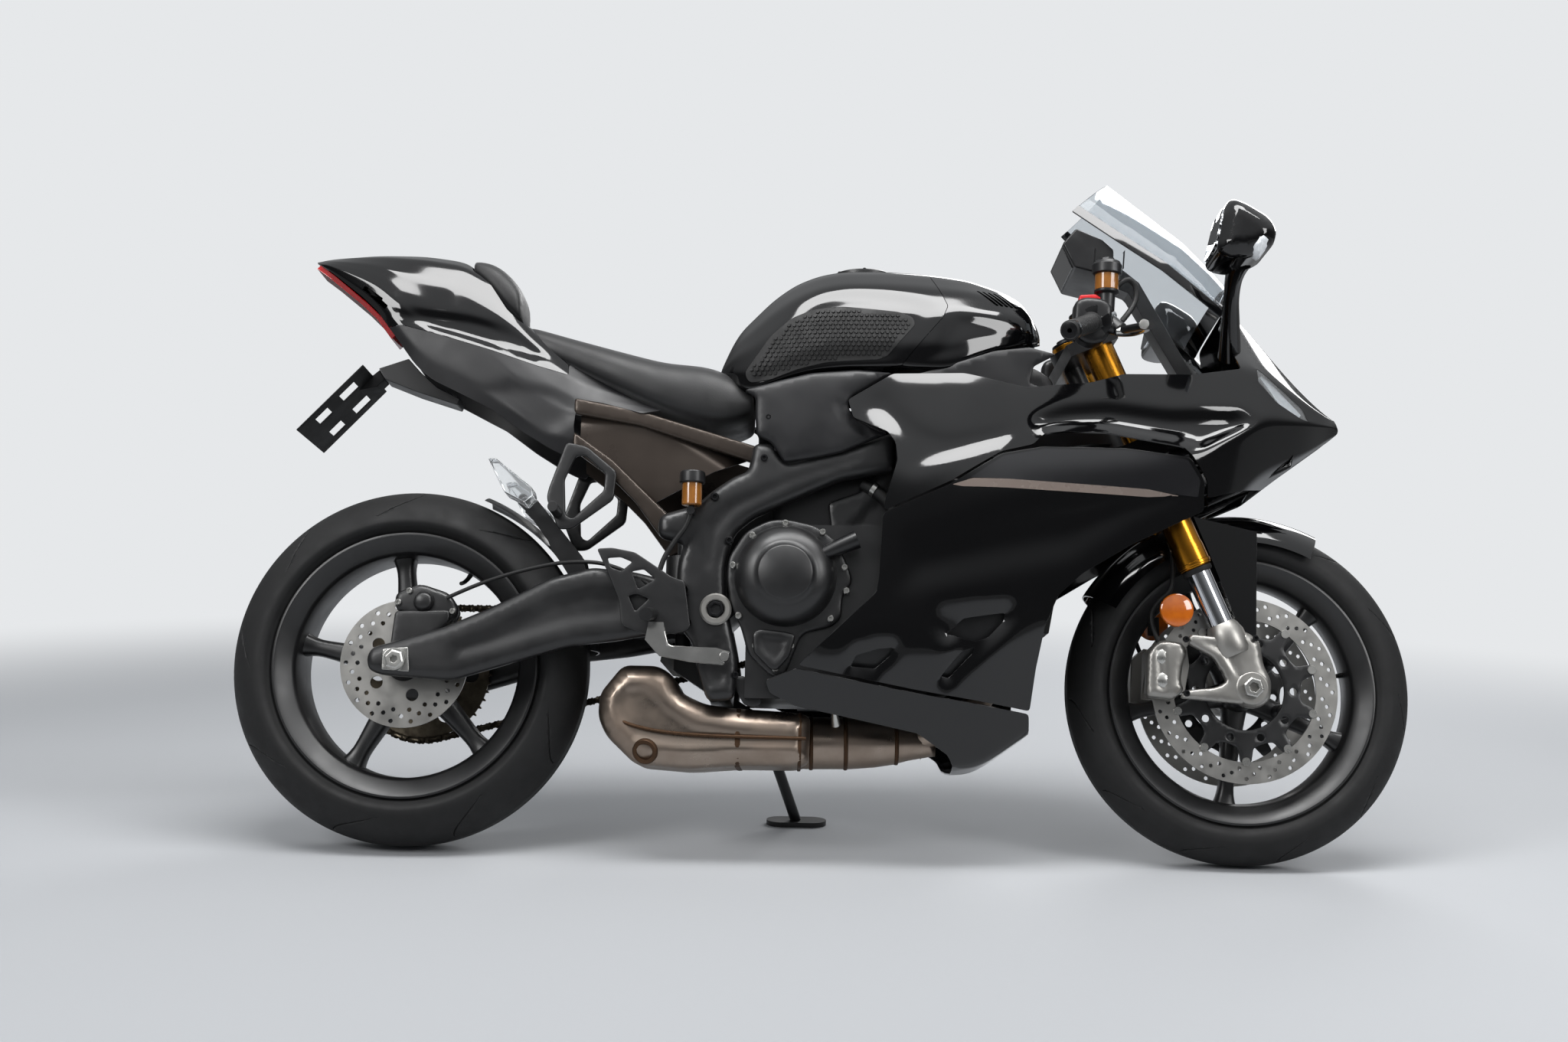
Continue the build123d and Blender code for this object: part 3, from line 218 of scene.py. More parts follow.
# making and finishing meshes
def linkMesh(name, mesh):
    piece = bpy.data.objects.new(name, mesh)
    bpy.context.scene.collection.objects.link(piece)
    return piece


def drawMesh(name, points, faces):
    mesh = bpy.data.meshes.new(name)
    mesh.from_pydata([tuple(float(c) for c in p) for p in points], [], [tuple(int(i) for i in f) for f in faces])
    mesh.transform(toFrame)
    return linkMesh(name, mesh)


def faceOutward(piece, weld=0.0):
    shape = bmesh.new()
    shape.from_mesh(piece.data)
    if weld:
        bmesh.ops.remove_doubles(shape, verts=shape.verts, dist=weld)
    bmesh.ops.recalc_face_normals(shape, faces=shape.faces)
    shape.to_mesh(piece.data)
    shape.free()
    return piece


def bakeModifiers(piece):
    bpy.context.view_layer.update()
    finished = bpy.data.meshes.new_from_object(piece.evaluated_get(bpy.context.evaluated_depsgraph_get()))
    piece.modifiers.clear()
    piece.data = finished
    return piece


def breakEdges(piece, width, angle=35, segments=2):
    for face in piece.data.polygons:
        face.use_smooth = True
    if width:
        bevel = piece.modifiers.new("brokenEdge", "BEVEL")
        bevel.width, bevel.segments, bevel.limit_method = width / 1000, segments, "ANGLE"
        bevel.angle_limit = radians(angle)
    normals = piece.modifiers.new("flatFaces", "WEIGHTED_NORMAL")
    normals.keep_sharp = True
    return bakeModifiers(piece)


def finishPiece(piece, finish, body, replaced=()):
    piece.data.materials.clear()
    piece.data.materials.append(materials[finish])
    for face in piece.data.polygons:
        face.use_smooth = True
        face.material_index = 0
    piece.data.set_sharp_from_angle(angle=radians(40))
    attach(piece, body)
    if replaced:
        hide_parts(*replaced)
    return piece


def joinMeshes(name, pieces):
    shape = bmesh.new()
    for piece in pieces:
        shape.from_mesh(piece.data)
        bpy.data.objects.remove(piece)
    mesh = bpy.data.meshes.new(name)
    shape.to_mesh(mesh)
    shape.free()
    return linkMesh(name, mesh)


def camelName(node):
    words = node.split("_")
    return words[0] + "".join(word.capitalize() for word in words[1:]) + "Form"


def copySolid(node, edge, leaveOut=None, name=None):
    # the solid's own shape, its edges broken by a small radius as casting and machining leave them
    mesh = frame["nodes"][node].data.copy()
    shape = bmesh.new()
    shape.from_mesh(mesh)
    bmesh.ops.remove_doubles(shape, verts=shape.verts, dist=2e-6)
    if leaveOut:
        going = [face for face in shape.faces if leaveOut(fromFrame @ face.calc_center_median())]
        bmesh.ops.delete(shape, geom=going, context="FACES")
    bmesh.ops.dissolve_limit(shape, angle_limit=radians(1.2), verts=shape.verts, edges=shape.edges)
    shape.to_mesh(mesh)
    shape.free()
    return breakEdges(linkMesh(name or camelName(node), mesh), edge, 32)


# outlines filled with even triangles
def insideOutline(points, outline):
    inside = np.zeros(len(points), bool)
    for (x0, z0), (x1, z1) in zip(outline, np.roll(outline, -1, axis=0)):
        if z0 != z1:
            crosses = (z0 > points[:, 1]) != (z1 > points[:, 1])
            inside ^= crosses & (points[:, 0] < (x1 - x0) * (points[:, 1] - z0) / (z1 - z0) + x0)
    return inside


def edgeDistance(points, outline):
    nearest = np.full(len(points), 1e9)
    for start, end in zip(outline, np.roll(outline, -1, axis=0)):
        run = end - start
        length = float(run @ run)
        if length < 1e-12:
            continue
        along = np.clip(((points - start) @ run) / length, 0, 1)
        nearest = np.minimum(nearest, np.linalg.norm(points - start - along[:, None] * run, axis=1))
    return nearest


def softOutline(corners, radius, step):
    corners = np.array(corners, float)
    path = []
    for before, corner, after in zip(np.roll(corners, 1, axis=0), corners, np.roll(corners, -1, axis=0)):
        back, on = before - corner, after - corner
        reach = min(radius, np.linalg.norm(back) * 0.45, np.linalg.norm(on) * 0.45)
        start = corner + back / np.linalg.norm(back) * reach
        end = corner + on / np.linalg.norm(on) * reach
        path += [(1 - t) ** 2 * start + 2 * t * (1 - t) * corner + t * t * end for t in (0, 0.25, 0.5, 0.75, 1)]
    samples = []
    for start, end in zip(path, path[1:] + path[:1]):
        count = max(1, int(np.linalg.norm(end - start) / step))
        samples += [start + (end - start) * i / count for i in range(count)]
    samples = np.array(samples)
    apart = np.linalg.norm(samples - np.roll(samples, 1, axis=0), axis=1) > 0.05
    return samples[apart]


def fillOutline(outline, holes, step, insets=()):
    loops = [outline] + list(holes)
    low, high = outline.min(axis=0), outline.max(axis=0)
    columns = np.arange(low[0] + step / 2, high[0], step)
    rows = np.arange(low[1] + step / 2, high[1], step * 0.87)
    grid = np.array([(x + (step / 2 if index % 2 else 0), z) for index, z in enumerate(rows) for x in columns])
    keep = insideOutline(grid, outline)
    for hole in holes:
        keep &= ~insideOutline(grid, hole)
    grid = grid[keep]
    away = np.min([edgeDistance(grid, loop) for loop in loops], axis=0)
    grid = grid[away > max([step * 0.5] + [inset + step * 0.45 for inset in insets])]
    rings = []
    for inset in insets:
        for loop in loops:
            tangent = np.roll(loop, -1, axis=0) - np.roll(loop, 1, axis=0)
            tangent /= np.linalg.norm(tangent, axis=1)[:, None] + 1e-12
            for side in (-1, 1):
                ring = loop + side * inset * np.stack([-tangent[:, 1], tangent[:, 0]], axis=1)
                good = insideOutline(ring, outline)
                for hole in holes:
                    good &= ~insideOutline(ring, hole)
                good &= np.min([edgeDistance(ring, other) for other in loops], axis=0) > inset * 0.93
                rings.append(ring[good])
    points = np.concatenate(loops + rings + [grid])
    edges, start = [], 0
    for loop in loops:
        edges += [(start + i, start + (i + 1) % len(loop)) for i in range(len(loop))]
        start += len(loop)
    verts, _, faces = delaunay_2d_cdt([Vector(p) for p in points], edges, [], 0, 1e-4)[:3]
    verts, faces = np.array([tuple(v) for v in verts]), np.array(faces)
    centres = verts[faces].mean(axis=1)
    good = insideOutline(centres, outline)
    for hole in holes:
        good &= ~insideOutline(centres, hole)
    return verts, faces[good]


def rimEdges(faces):
    seen = {}
    for face in faces:
        for a, b in zip(face, np.roll(face, -1)):
            seen[(int(a), int(b))] = True
    return [edge for edge in seen if (edge[1], edge[0]) not in seen]


def pressDepth(points, presses):
    # presses: outline, depth and how softly its side runs in
    depth = np.zeros(len(points))
    for press in presses:
        outline = softOutline(press["outline"], press.get("corner", 6), 6)
        near = np.clip(edgeDistance(points, outline) / press["soft"], 0, 1)
        depth += np.where(insideOutline(points, outline), near * near * (3 - 2 * near), 0) * press["depth"]
    return depth


def castPlate(name, corners, inner, outer, radius, holes=(), step=7, corner=8, presses=(), sides=(-1, 1), bulge=0):
    # A casting seen from the side: both faces run into the rim on a radius. inner and outer are distances from
    # the middle plane, bulge swells the outer face towards its middle.
    outline = softOutline(corners, corner, step * 0.8)
    holeLoops = [softOutline(hole, corner * 0.6, step * 0.7) for hole in holes]
    insets = [radius * part for part in (0.06, 0.25, 0.6)] if radius > 1 else []
    flat, faces = fillOutline(outline, holeLoops, step, insets)
    away = np.min([edgeDistance(flat, loop) for loop in [outline] + holeLoops],
        axis=0) if insets else np.full(len(flat), radius)
    reach = np.clip(radius - away, 0, radius)
    drop = radius - np.sqrt(np.maximum(radius * radius - reach * reach, 0))
    swell = bulge * (1 - np.exp(-away / max(1, 2.5 * radius)))
    high = outer - drop + swell - pressDepth(flat, presses)
    low = np.minimum(inner + drop, high)
    points, allFaces = [], []
    rim = rimEdges(faces)
    for side in sides:
        base, count = len(points), len(flat)
        points += [(x, side * y, z) for (x, z), y in zip(flat, high)] + [(x, side * y, z) for (x, z),
            y in zip(flat, low)]
        turned = faces if side < 0 else faces[:, ::-1]
        allFaces += [tuple(base + i for i in face) for face in turned]
        allFaces += [tuple(base + count + i for i in face[::-1]) for face in turned]
        for a, b in rim:
            quad = (b, a, count + a, count + b) if side < 0 else (a, b, count + b, count + a)
            allFaces.append(tuple(base + i for i in quad))
    return drawMesh(name, points, allFaces)


# panels cut from a smooth hull
def makeHull(rows, smoothAlong, smoothRound):
    # rows: x, then the half section's points (y, z) from the top line down. Returns the surface as a function
    # of x and s, which is 0 on the top line and grows by 100 at each point of the section.
    stations = np.array([row[0] for row in rows], float)
    sections = np.array([row[1] for row in rows], float)
    last = sections.shape[1] - 1

    def exact(x, s):
        x = np.clip(x, stations[0], stations[-1])
        low = np.clip(np.searchsorted(stations, x, side="right") - 1, 0, len(stations) - 2)
        part = ((x - stations[low]) / (stations[low + 1] - stations[low]))[:, None]
        place = np.clip(np.abs(s) / 100, 0, last)
        below = np.clip(place.astype(int), 0, last - 1)
        down = (place - below)[:, None]
        here = sections[low, below] * (1 - down) + sections[low, below + 1] * down
        ahead = sections[low + 1, below] * (1 - down) + sections[low + 1, below + 1] * down
        point = here * (1 - part) + ahead * part
        return np.stack([x, np.where(s < 0, -1, 1) * point[:, 0], point[:, 1]], axis=1)

    def surface(x, s):
        x, s = np.asarray(x, float), np.asarray(s, float)
        total, weight = 0, 0
        for along in (-1, -0.66, -0.33, 0, 0.33, 0.66, 1):
            for around in (-1, -0.5, 0, 0.5, 1):
                share = (1.2 - abs(along)) * (1.2 - abs(around))
                total = total + share * exact(x + along * smoothAlong, s + around * smoothRound)
                weight += share
        point = total / weight
        point[:, 0] = np.clip(x, stations[0], stations[-1])
        return point

    def sectionPlace(x, z):
        high, low = np.zeros(len(x)), np.full(len(x), last * 100.0)
        for _ in range(26):
            middle = (high + low) / 2
            above = surface(x, middle)[:, 2] > z
            high, low = np.where(above, middle, high), np.where(above, low, middle)
        return (high + low) / 2

    return surface, sectionPlace


def hullPanel(name, hull, corners, holes=(), step=8, corner=6, presses=(), thick=3.0, offset=0.0, stretch=2.0,
              sides=(-1, 1), edge=0.8):
    # A skin panel: its outline is drawn in the side view and laid on the hull, both sides of the bike.
    surface, sectionPlace = hull

    def laid(loop):
        return np.stack([loop[:, 0], sectionPlace(loop[:, 0], loop[:, 1]) * stretch], axis=1)

    outline = laid(softOutline(corners, corner, step * 0.8))
    keep = np.linalg.norm(outline - np.roll(outline, 1, axis=0), axis=1) > 0.15
    outline = outline[keep]
    holeLoops = [laid(softOutline(hole, corner * 0.5, step * 0.6)) for hole in holes]
    flat, faces = fillOutline(outline, holeLoops, step)
    places = flat[:, 1] / stretch
    skin = surface(flat[:, 0], places)
    ahead, below = surface(flat[:, 0] + 2, places), surface(flat[:, 0], places + 2)
    normal = np.cross(below - skin, ahead - skin)
    normal /= np.linalg.norm(normal, axis=1)[:, None] + 1e-12
    normal *= np.where(normal[:, 1] < 0, -1, 1)[:, None]
    if presses:
        skin = skin - normal * pressDepth(skin[:, [0, 2]], presses)[:, None]
    skin = skin + normal * offset
    points, allFaces = [], []
    for side in sides:
        base = len(points)
        points += [(x, side * y, z) for x, y, z in skin]
        allFaces += [tuple(base + i for i in (face if side < 0 else face[::-1])) for face in faces]
    piece = drawMesh(name, points, allFaces)
    shape = bmesh.new()
    shape.from_mesh(piece.data)
    bmesh.ops.remove_doubles(shape, verts=shape.verts, dist=0.0004)
    within = [vert for vert in shape.verts if not any(edge.is_boundary for edge in vert.link_edges)]
    for _ in range(6):
        bmesh.ops.smooth_vert(shape, verts=within, factor=0.5, use_axis_x=True, use_axis_y=True, use_axis_z=True)
    shape.to_mesh(piece.data)
    shape.free()
    outward = sum(face.area * (toFrame.to_3x3().inverted() @ face.normal)[1] * (1
        if (fromFrame @ face.center)[1] > 0 else -1) for face in piece.data.polygons)
    if outward < 0:
        piece.data.flip_normals()
    if thick:
        wall = piece.modifiers.new("wall", "SOLIDIFY")
        wall.thickness, wall.offset = thick / 1000, -1
        bakeModifiers(piece)
    return breakEdges(piece, edge, 50)


# round parts
def spinPiece(name, profile, centre, axis=(0, -1, 0), segments=64, closed=False):
    # profile: (radius, distance along the axis), turned about the axis through centre.
    axis = Vector(axis).normalized()
    across = axis.orthogonal().normalized()
    other = axis.cross(across)
    points, faces = [], []
    for step in range(segments):
        angle = 2 * pi * step / segments
        ray = across * cos(angle) + other * sin(angle)
        points += [Vector(centre) + ray * radius + axis * along for radius, along in profile]
    rows = len(profile)
    for step in range(segments):
        here, ahead = step * rows, (step + 1) % segments * rows
        for i in range(rows if closed else rows - 1):
            j = (i + 1) % rows
            faces.append((here + i, ahead + i, ahead + j, here + j))
    piece = drawMesh(name, points, faces)
    return faceOutward(piece, 1e-6)


def tubePiece(name, points, radius, radii=None, sides=16):
    curve = bpy.data.curves.new(name, "CURVE")
    curve.dimensions, curve.bevel_depth, curve.bevel_resolution, curve.resolution_u = "3D", 1.0, sides // 4, 8
    curve.use_fill_caps = True
    spline = curve.splines.new("NURBS")
    spline.points.add(len(points) - 1)
    for index, point in enumerate(points):
        spline.points[index].co = (*point, 1)
        spline.points[index].radius = radii[index] if radii else radius
    spline.order_u, spline.use_endpoint_u = 3, True
    drawn = linkMesh(name + "Path", curve)
    bpy.context.view_layer.update()
    mesh = bpy.data.meshes.new_from_object(drawn.evaluated_get(bpy.context.evaluated_depsgraph_get()))
    bpy.data.objects.remove(drawn)
    mesh.transform(toFrame)
    mesh.name = name
    return linkMesh(name, mesh)


def mirrored(piece, name=None):
    copy = linkMesh(name or piece.name + "Left", piece.data.copy())
    copy.data.transform(toFrame @ Matrix.Scale(-1, 4, (0, 1, 0)) @ fromFrame)
    copy.data.flip_normals()
    return copy


def boxPiece(name, centre, size, turn=(0, 0, 0), edge=1.0):
    shape = bmesh.new()
    bmesh.ops.create_cube(shape, size=1)
    mesh = bpy.data.meshes.new(name)
    shape.to_mesh(mesh)
    shape.free()
    rotation = Matrix.Rotation(radians(turn[2]), 4, "Z") @ Matrix.Rotation(radians(turn[1]), 4,
        "Y") @ Matrix.Rotation(radians(turn[0]), 4, "X")
    mesh.transform(toFrame @ Matrix.Translation(centre) @ rotation @ Matrix.Diagonal((*size, 1)))
    return breakEdges(linkMesh(name, mesh), edge)


# repeats, placed by one Geometry Nodes tree
def makeRepeatTree():
    tree = bpy.data.node_groups.new("repeatPieces", "GeometryNodeTree")
    sockets = {}
    for label, kind, way in (("Places", "NodeSocketGeometry", "INPUT"), ("Piece", "NodeSocketObject", "INPUT"),
                             ("Finish", "NodeSocketMaterial", "INPUT"), ("Geometry", "NodeSocketGeometry", "OUTPUT")):
        sockets[label] = tree.interface.new_socket(label, in_out=way, socket_type=kind)
    given = addNode(tree, "NodeGroupInput")
    piece = addNode(tree, "GeometryNodeObjectInfo", None, {"Object": given.outputs["Piece"]})
    turn = addNode(tree, "GeometryNodeInputNamedAttribute", {"data_type": "FLOAT_VECTOR", "Name": "turn"})
    rotation = addNode(tree, "FunctionNodeEulerToRotation", None, {0: turn.outputs["Attribute"]})
    size = addNode(tree, "GeometryNodeInputNamedAttribute", {"data_type": "FLOAT", "Name": "size"})
    copies = addNode(tree, "GeometryNodeInstanceOnPoints", None,
                     {"Points": given.outputs["Places"], "Instance": piece.outputs["Geometry"],
                      "Rotation": rotation.outputs[0], "Scale": size.outputs["Attribute"]})
    real = addNode(tree, "GeometryNodeRealizeInstances", None, {"Geometry": copies.outputs[0]})
    finish = addNode(tree, "GeometryNodeSetMaterial", None,
                     {"Geometry": real.outputs[0], "Material": given.outputs["Finish"]})
    addNode(tree, "NodeGroupOutput", None, {"Geometry": finish.outputs[0]})
    return tree, sockets


repeatTree, repeatSockets = makeRepeatTree()


def repeatPiece(name, template, places, finish):
    # template: a mesh in millimetres about its own origin; places: (point, axis its z points along, spin,
    # size).
    mesh = bpy.data.meshes.new(name)
    mesh.from_pydata([toFrame @ Vector(point) for point, *_ in places], [], [])
    mesh.attributes.new("turn", "FLOAT_VECTOR", "POINT")
    mesh.attributes.new("size", "FLOAT", "POINT")
    turn, size = mesh.attributes["turn"], mesh.attributes["size"]
    for index, (_, axis, spin, scale) in enumerate(places):
        basis = Vector(axis).normalized().to_track_quat("Z", "Y").to_matrix() @ Matrix.Rotation(radians(spin), 3, "Z")
        turn.data[index].vector = (Matrix.Rotation(-lean, 3, "X") @ basis).to_euler()
        size.data[index].value = scale * 0.001
    piece, copied = linkMesh(name, mesh), linkMesh(name + "Copied", template)
    modifier = piece.modifiers.new("repeat", "NODES")
    modifier.node_group = repeatTree
    modifier[repeatSockets["Piece"].identifier] = copied
    modifier[repeatSockets["Finish"].identifier] = materials[finish]
    bakeModifiers(piece)
    bpy.data.objects.remove(copied)
    return piece


def socketScrewMesh(head=6.0, high=5.0, socket=3.0):
    # cap screw: domed head with a hexagon socket, standing on z = 0
    profile = [(head, -1.0), (head, high - 1.2), (head - 1.2, high)]
    shape = bmesh.new()
    rings = [[shape.verts.new((radius * cos(2 * pi * i / 24), radius * sin(2 * pi * i / 24), z)) for i in range(24)]
             for radius, z in profile]
    def hexRing(radius, z):
        ring = []
        for i in range(24):
            angle = 2 * pi * i / 24
            local = (angle + pi / 6) % (pi / 3) - pi / 6
            reach = radius * cos(pi / 6) / cos(local)
            ring.append(shape.verts.new((reach * cos(angle), reach * sin(angle), z)))
        return ring
    rings += [hexRing(socket + 0.4, high), hexRing(socket, high - 0.6), hexRing(socket, high - 3.2)]
    for lower, upper in zip(rings, rings[1:]):
        for i in range(24):
            shape.faces.new((lower[i], lower[(i + 1) % 24], upper[(i + 1) % 24], upper[i]))
    shape.faces.new(rings[-1])
    mesh = bpy.data.meshes.new("socketScrew")
    shape.to_mesh(mesh)
    shape.free()
    for face in mesh.polygons:
        face.use_smooth = False
    return mesh


# cowls: side outlines laid on one smooth hull
# station, then half section (y, z): top line, shoulder, widest, low, keel, underside
cowlHull = makeHull([
    (-110, [(0, 900), (150, 835), (200, 640), (182, 340), (124, 152), (0, 146)]),
    (260, [(0, 900), (172, 835), (232, 640), (200, 340), (125, 152), (0, 146)]),
    (470, [(0, 1010), (169, 842), (224, 664), (195, 440), (118, 300), (0, 294)]),
    (620, [(0, 1098), (165, 850), (214, 684), (190, 540), (110, 432), (0, 426)]),
    (740, [(0, 990), (140, 858), (172, 755), (140, 664), (60, 622), (0, 616)]),
    (840, [(0, 862), (85, 806), (102, 765), (80, 716), (40, 702), (0, 698)]),
    (911, [(0, 790), (20, 784), (26, 776), (20, 768), (10, 762), (0, 760)]),
], 38, 12)

sideCowl = {"outline": [(92, 572), (205, 622), (290, 676), (360, 690), (500, 690), (608, 677), (634, 640), (634, 590),
    (612, 579), (509, 528), (426, 477), (387, 441), (365, 390), (353, 320), (346, 250), (155, 279), (-46, 316),
    (52, 410), (83, 439), (87, 465)], "vents": [[(200, 371), (228, 397), (250, 401), (298, 408), (296, 394),
    (270, 366), (250, 359)], [(193, 300), (227, 342), (248, 349), (244, 338), (206, 297)],
    [(42, 314), (51, 333), (87, 344), (112, 347), (106, 332), (83, 311)]], "presses": [{"outline": [(178, 413),
    (317, 421), (320, 404), (263, 333), (211, 282), (180, 290), (219, 350), (180, 370)], "depth": 9, "soft": 9},
    {"outline": [(31, 306), (42, 341), (86, 354), (127, 355), (118, 330), (86, 300)], "depth": 6, "soft": 7},
    {"outline": [(96, 420), (330, 470), (420, 490), (520, 560), (610, 600), (604, 640), (330, 600), (110, 540)],
    "depth": 5, "soft": 60}]}
cowlPanel = hullPanel("sideCowls", cowlHull, sideCowl["outline"], sideCowl["vents"], 7.5, 7, sideCowl["presses"])
finishPiece(cowlPanel, "glossBlackLacquer", "chassis", ["side_cowl_right", "side_cowl_left"])

ventBacking = hullPanel("ventBackings", cowlHull, [(30, 300), (40, 348), (130, 360), (172, 424), (322, 426),
    (322, 330), (205, 276), (80, 296)], (), 14, 6, thick=2, offset=-24, edge=0)
finishPiece(ventBacking, "mouldedPolypropylene", "chassis")

stripes = {"charcoalLacquer": [(236, 632), (292, 671), (362, 686), (500, 686), (603, 673), (626, 640), (622, 612),
    (584, 614), (536, 621), (300, 631)], "greyVinylFilm": [(206, 620), (240, 631), (300, 631), (536, 621), (590, 612),
    (536, 608), (300, 616), (224, 617)]}
for finish, outline in stripes.items():
    film = hullPanel(finish + "Stripe", cowlHull, outline, (), 9, 3, sideCowl["presses"], thick=0, offset=0.5, edge=0)
    finishPiece(film, finish, "chassis")

belly = hullPanel("bellyPanel", cowlHull,
                  [(-49, 311), (155, 274), (345, 245), (352, 150), (351, 138), (226, 138), (210, 173), (158, 208),
                   (30, 234), (-48, 249), (-93, 270), (-100, 291)], (), 8, 6)
finishPiece(belly, "glossBlackLacquer", "chassis", ["belly_cowl"])

upperCowl = {"outline": [(108, 824), (31, 774), (40, 741), (99, 715), (112, 696), (115, 663), (94, 590), (93, 576),
    (203, 626), (289, 680), (343, 694), (362, 714), (395, 719), (470, 718), (596, 696), (612, 681), (640, 640),
    (640, 612), (759, 649), (822, 698), (893, 750), (912, 766), (903, 794), (842, 866), (775, 958), (727, 1012),
    (690, 940), (712, 850), (623, 832), (505, 830), (446, 812), (385, 806), (339, 800), (230, 826)],
    "lamp": [(742, 855), (742, 828), (775, 794), (821, 773), (840, 769), (830, 792)],
    "presses": [{"outline": [(338, 742), (397, 768), (470, 777), (580, 764), (698, 770), (736, 748), (624, 690),
    (600, 704), (469, 726), (420, 726), (352, 720)], "depth": 13, "soft": 15}, {"outline": [(60, 752), (108, 722),
    (124, 690), (122, 640), (150, 640), (300, 700), (330, 735), (200, 712), (160, 724), (120, 760), (100, 800),
    (60, 780)], "depth": 5, "soft": 14}]}
cowlPanel = hullPanel("upperCowl", cowlHull, upperCowl["outline"], [upperCowl["lamp"]], 8, 6, upperCowl["presses"])
finishPiece(cowlPanel, "glossBlackLacquer", "chassis", ["upper_cowl"])

lampLens = hullPanel("headlampLenses", cowlHull, upperCowl["lamp"], (), 6, 3, thick=2.5, offset=-0.6, edge=0.4)
finishPiece(lampLens, "clearPolycarbonate", "chassis", ["headlamps"])
lampBowl = hullPanel("headlampBowls", cowlHull, [(738, 860), (738, 824), (773, 789), (821, 768), (846, 765),
    (834, 796)], (), 8, 3, thick=2, offset=-15, edge=0)
finishPiece(lampBowl, "mouldedPolypropylene", "chassis")
lightGuide = hullPanel("lightGuides", cowlHull, [(752, 842), (758, 848), (832, 784), (826, 777), (790, 790)], (), 6,
    2, thick=4, offset=-8, edge=1)
finishPiece(lightGuide, "frostedLightGuide", "chassis")

# the inner panels fill the gap between tank, fork and cowl edge
innerPanel = castPlate("innerPanels", [(112, 818), (184, 838), (283, 872), (345, 880), (392, 868), (352, 846),
    (345, 816), (385, 800), (339, 794), (230, 818)], 146, 152, 2.4, step=10, corner=5)
finishPiece(innerPanel, "texturedAbs", "chassis")

winglets = castPlate("winglets", [(652, 634), (799, 691), (812, 710), (806, 686), (785, 675), (659, 613)], 96, 104,
    3.5, step=6, corner=3)
finishPiece(winglets, "glossBlackLacquer", "chassis")

# windscreen: rows of crescents, with a dark band moulded round its foot
screenRows = [(432, 72, 1156, 508, 1227), (505, 104, 1092, 574, 1170), (581, 132, 1029, 640, 1112),
              (637, 143, 978, 686, 1060), (689, 150, 932, 726, 1006)]


def drawScreen(name, startRow, endRow, startTurn, endTurn, thick, inset):
    columns, rows, points = 40, 36, []
    table = np.array(screenRows, float)
    for i in range(rows + 1):
        place = (startRow + (endRow - startRow) * i / rows) * (len(table) - 1)
        x, half, z, midX, midZ = (np.interp(place, range(len(table)), table[:, k]) for k in range(5))
        for j in range(columns + 1):
            turn = startTurn + (endTurn - startTurn) * j / columns
            y, rise = half * sin(turn * pi / 2), 1 - (1 - cos(turn * pi / 2))
            points.append((x + (midX - x) * rise, y * (1 - inset / half), z + (midZ - z) * rise - inset))
    faces = [(i * (columns + 1) + j, (i + 1) * (columns + 1) + j, (i + 1) * (columns + 1) + j + 1,
        i * (columns + 1) + j + 1) for i in range(rows) for j in range(columns)]
    piece = drawMesh(name, points, faces)
    if sum((toFrame.to_3x3().inverted() @ face.normal)[2] * face.area for face in piece.data.polygons) < 0:
        piece.data.flip_normals()
    wall = piece.modifiers.new("wall", "SOLIDIFY")
    wall.thickness, wall.offset = thick / 1000, -1
    return breakEdges(bakeModifiers(piece), 0.6, 50)


finishPiece(drawScreen("screenPane", 0, 1, -1, 1, 3.0, 0), "tintedAcrylic", "chassis",
    ["windscreen"])
for side, label in ((-1, "Right"), (1, "Left")):
    band = drawScreen("screenBand" + label, 0.0, 1, side * 1.0, side * 0.90, 4.6, -0.7)
    finishPiece(band, "glossBlackLacquer", "chassis")
finishPiece(drawScreen("screenFoot", 0.90, 1, -0.9, 0.9, 4.6, -0.7), "glossBlackLacquer", "chassis")

# tank and its front cover, one hull cut along their seam
tankStations = [  # x, half width, top, floor
    (-197, 40, 846, 838), (-190, 78, 868, 832), (-166, 104, 926, 811), (-139, 120, 953, 797), (-104, 133, 990, 808),
    (-63, 146, 1020, 820), (-21, 156, 1037, 828), (21, 162, 1045, 832), (91, 166, 1046, 834), (165, 166, 1042, 832),
    (203, 163, 1038, 832), (245, 153, 1032, 850), (301, 132, 1014, 878), (340, 113, 996, 893), (362, 98, 968, 901),
    (371, 78, 948, 908), (377, 40, 932, 918)]
tankSection = [(0, 1.0), (0.24, 0.995), (0.56, 0.92), (0.80, 0.74), (0.95, 0.50), (1.0, 0.22), (0.95, 0.03),
    (0.84, 0.0)]
tankHull = makeHull([(x, [(half * u, floor + (top - floor) * v) for u, v in tankSection]) for x, half, top,
    floor in tankStations], 14, 26)
seamLine = [(165, 1060), (165, 1041), (203, 953), (194, 930), (115, 832), (109, 815)]
tankSides = [{"outline": [(-150, 800), (-96, 905), (-60, 962), (-20, 988), (60, 992), (150, 975), (196, 952),
    (186, 932), (108, 836), (20, 830), (-80, 812)], "depth": 3.5, "soft": 26, "corner": 20}]
tank = hullPanel("fuelTank", tankHull, [(-205, 800), (-205, 1070)] + seamLine + [(20, 815), (-60, 800), (-130, 780)],
    (), 8, 5, tankSides, stretch=1.0)
finishPiece(tank, "glossBlackLacquer", "chassis", ["fuel_tank"])
slots = [[(256 + 10 * i, 992), (260 + 10 * i, 993), (296 + 9 * i, 964), (291 + 9 * i, 962)] for i in range(5)]
cover = hullPanel("tankCover", tankHull, [(x + 1.2, z) for x, z in seamLine] + [(218, 815), (272, 850), (385, 890),
    (385, 1060)], slots, 7, 5, [{"outline": [(203, 950), (262, 945), (340, 928), (366, 915), (350, 900), (272, 872),
    (216, 850), (150, 842), (196, 925)], "depth": 4, "soft": 26, "corner": 14}], stretch=1.0)
finishPiece(cover, "glossBlackLacquer", "chassis", ["tank_cover"])
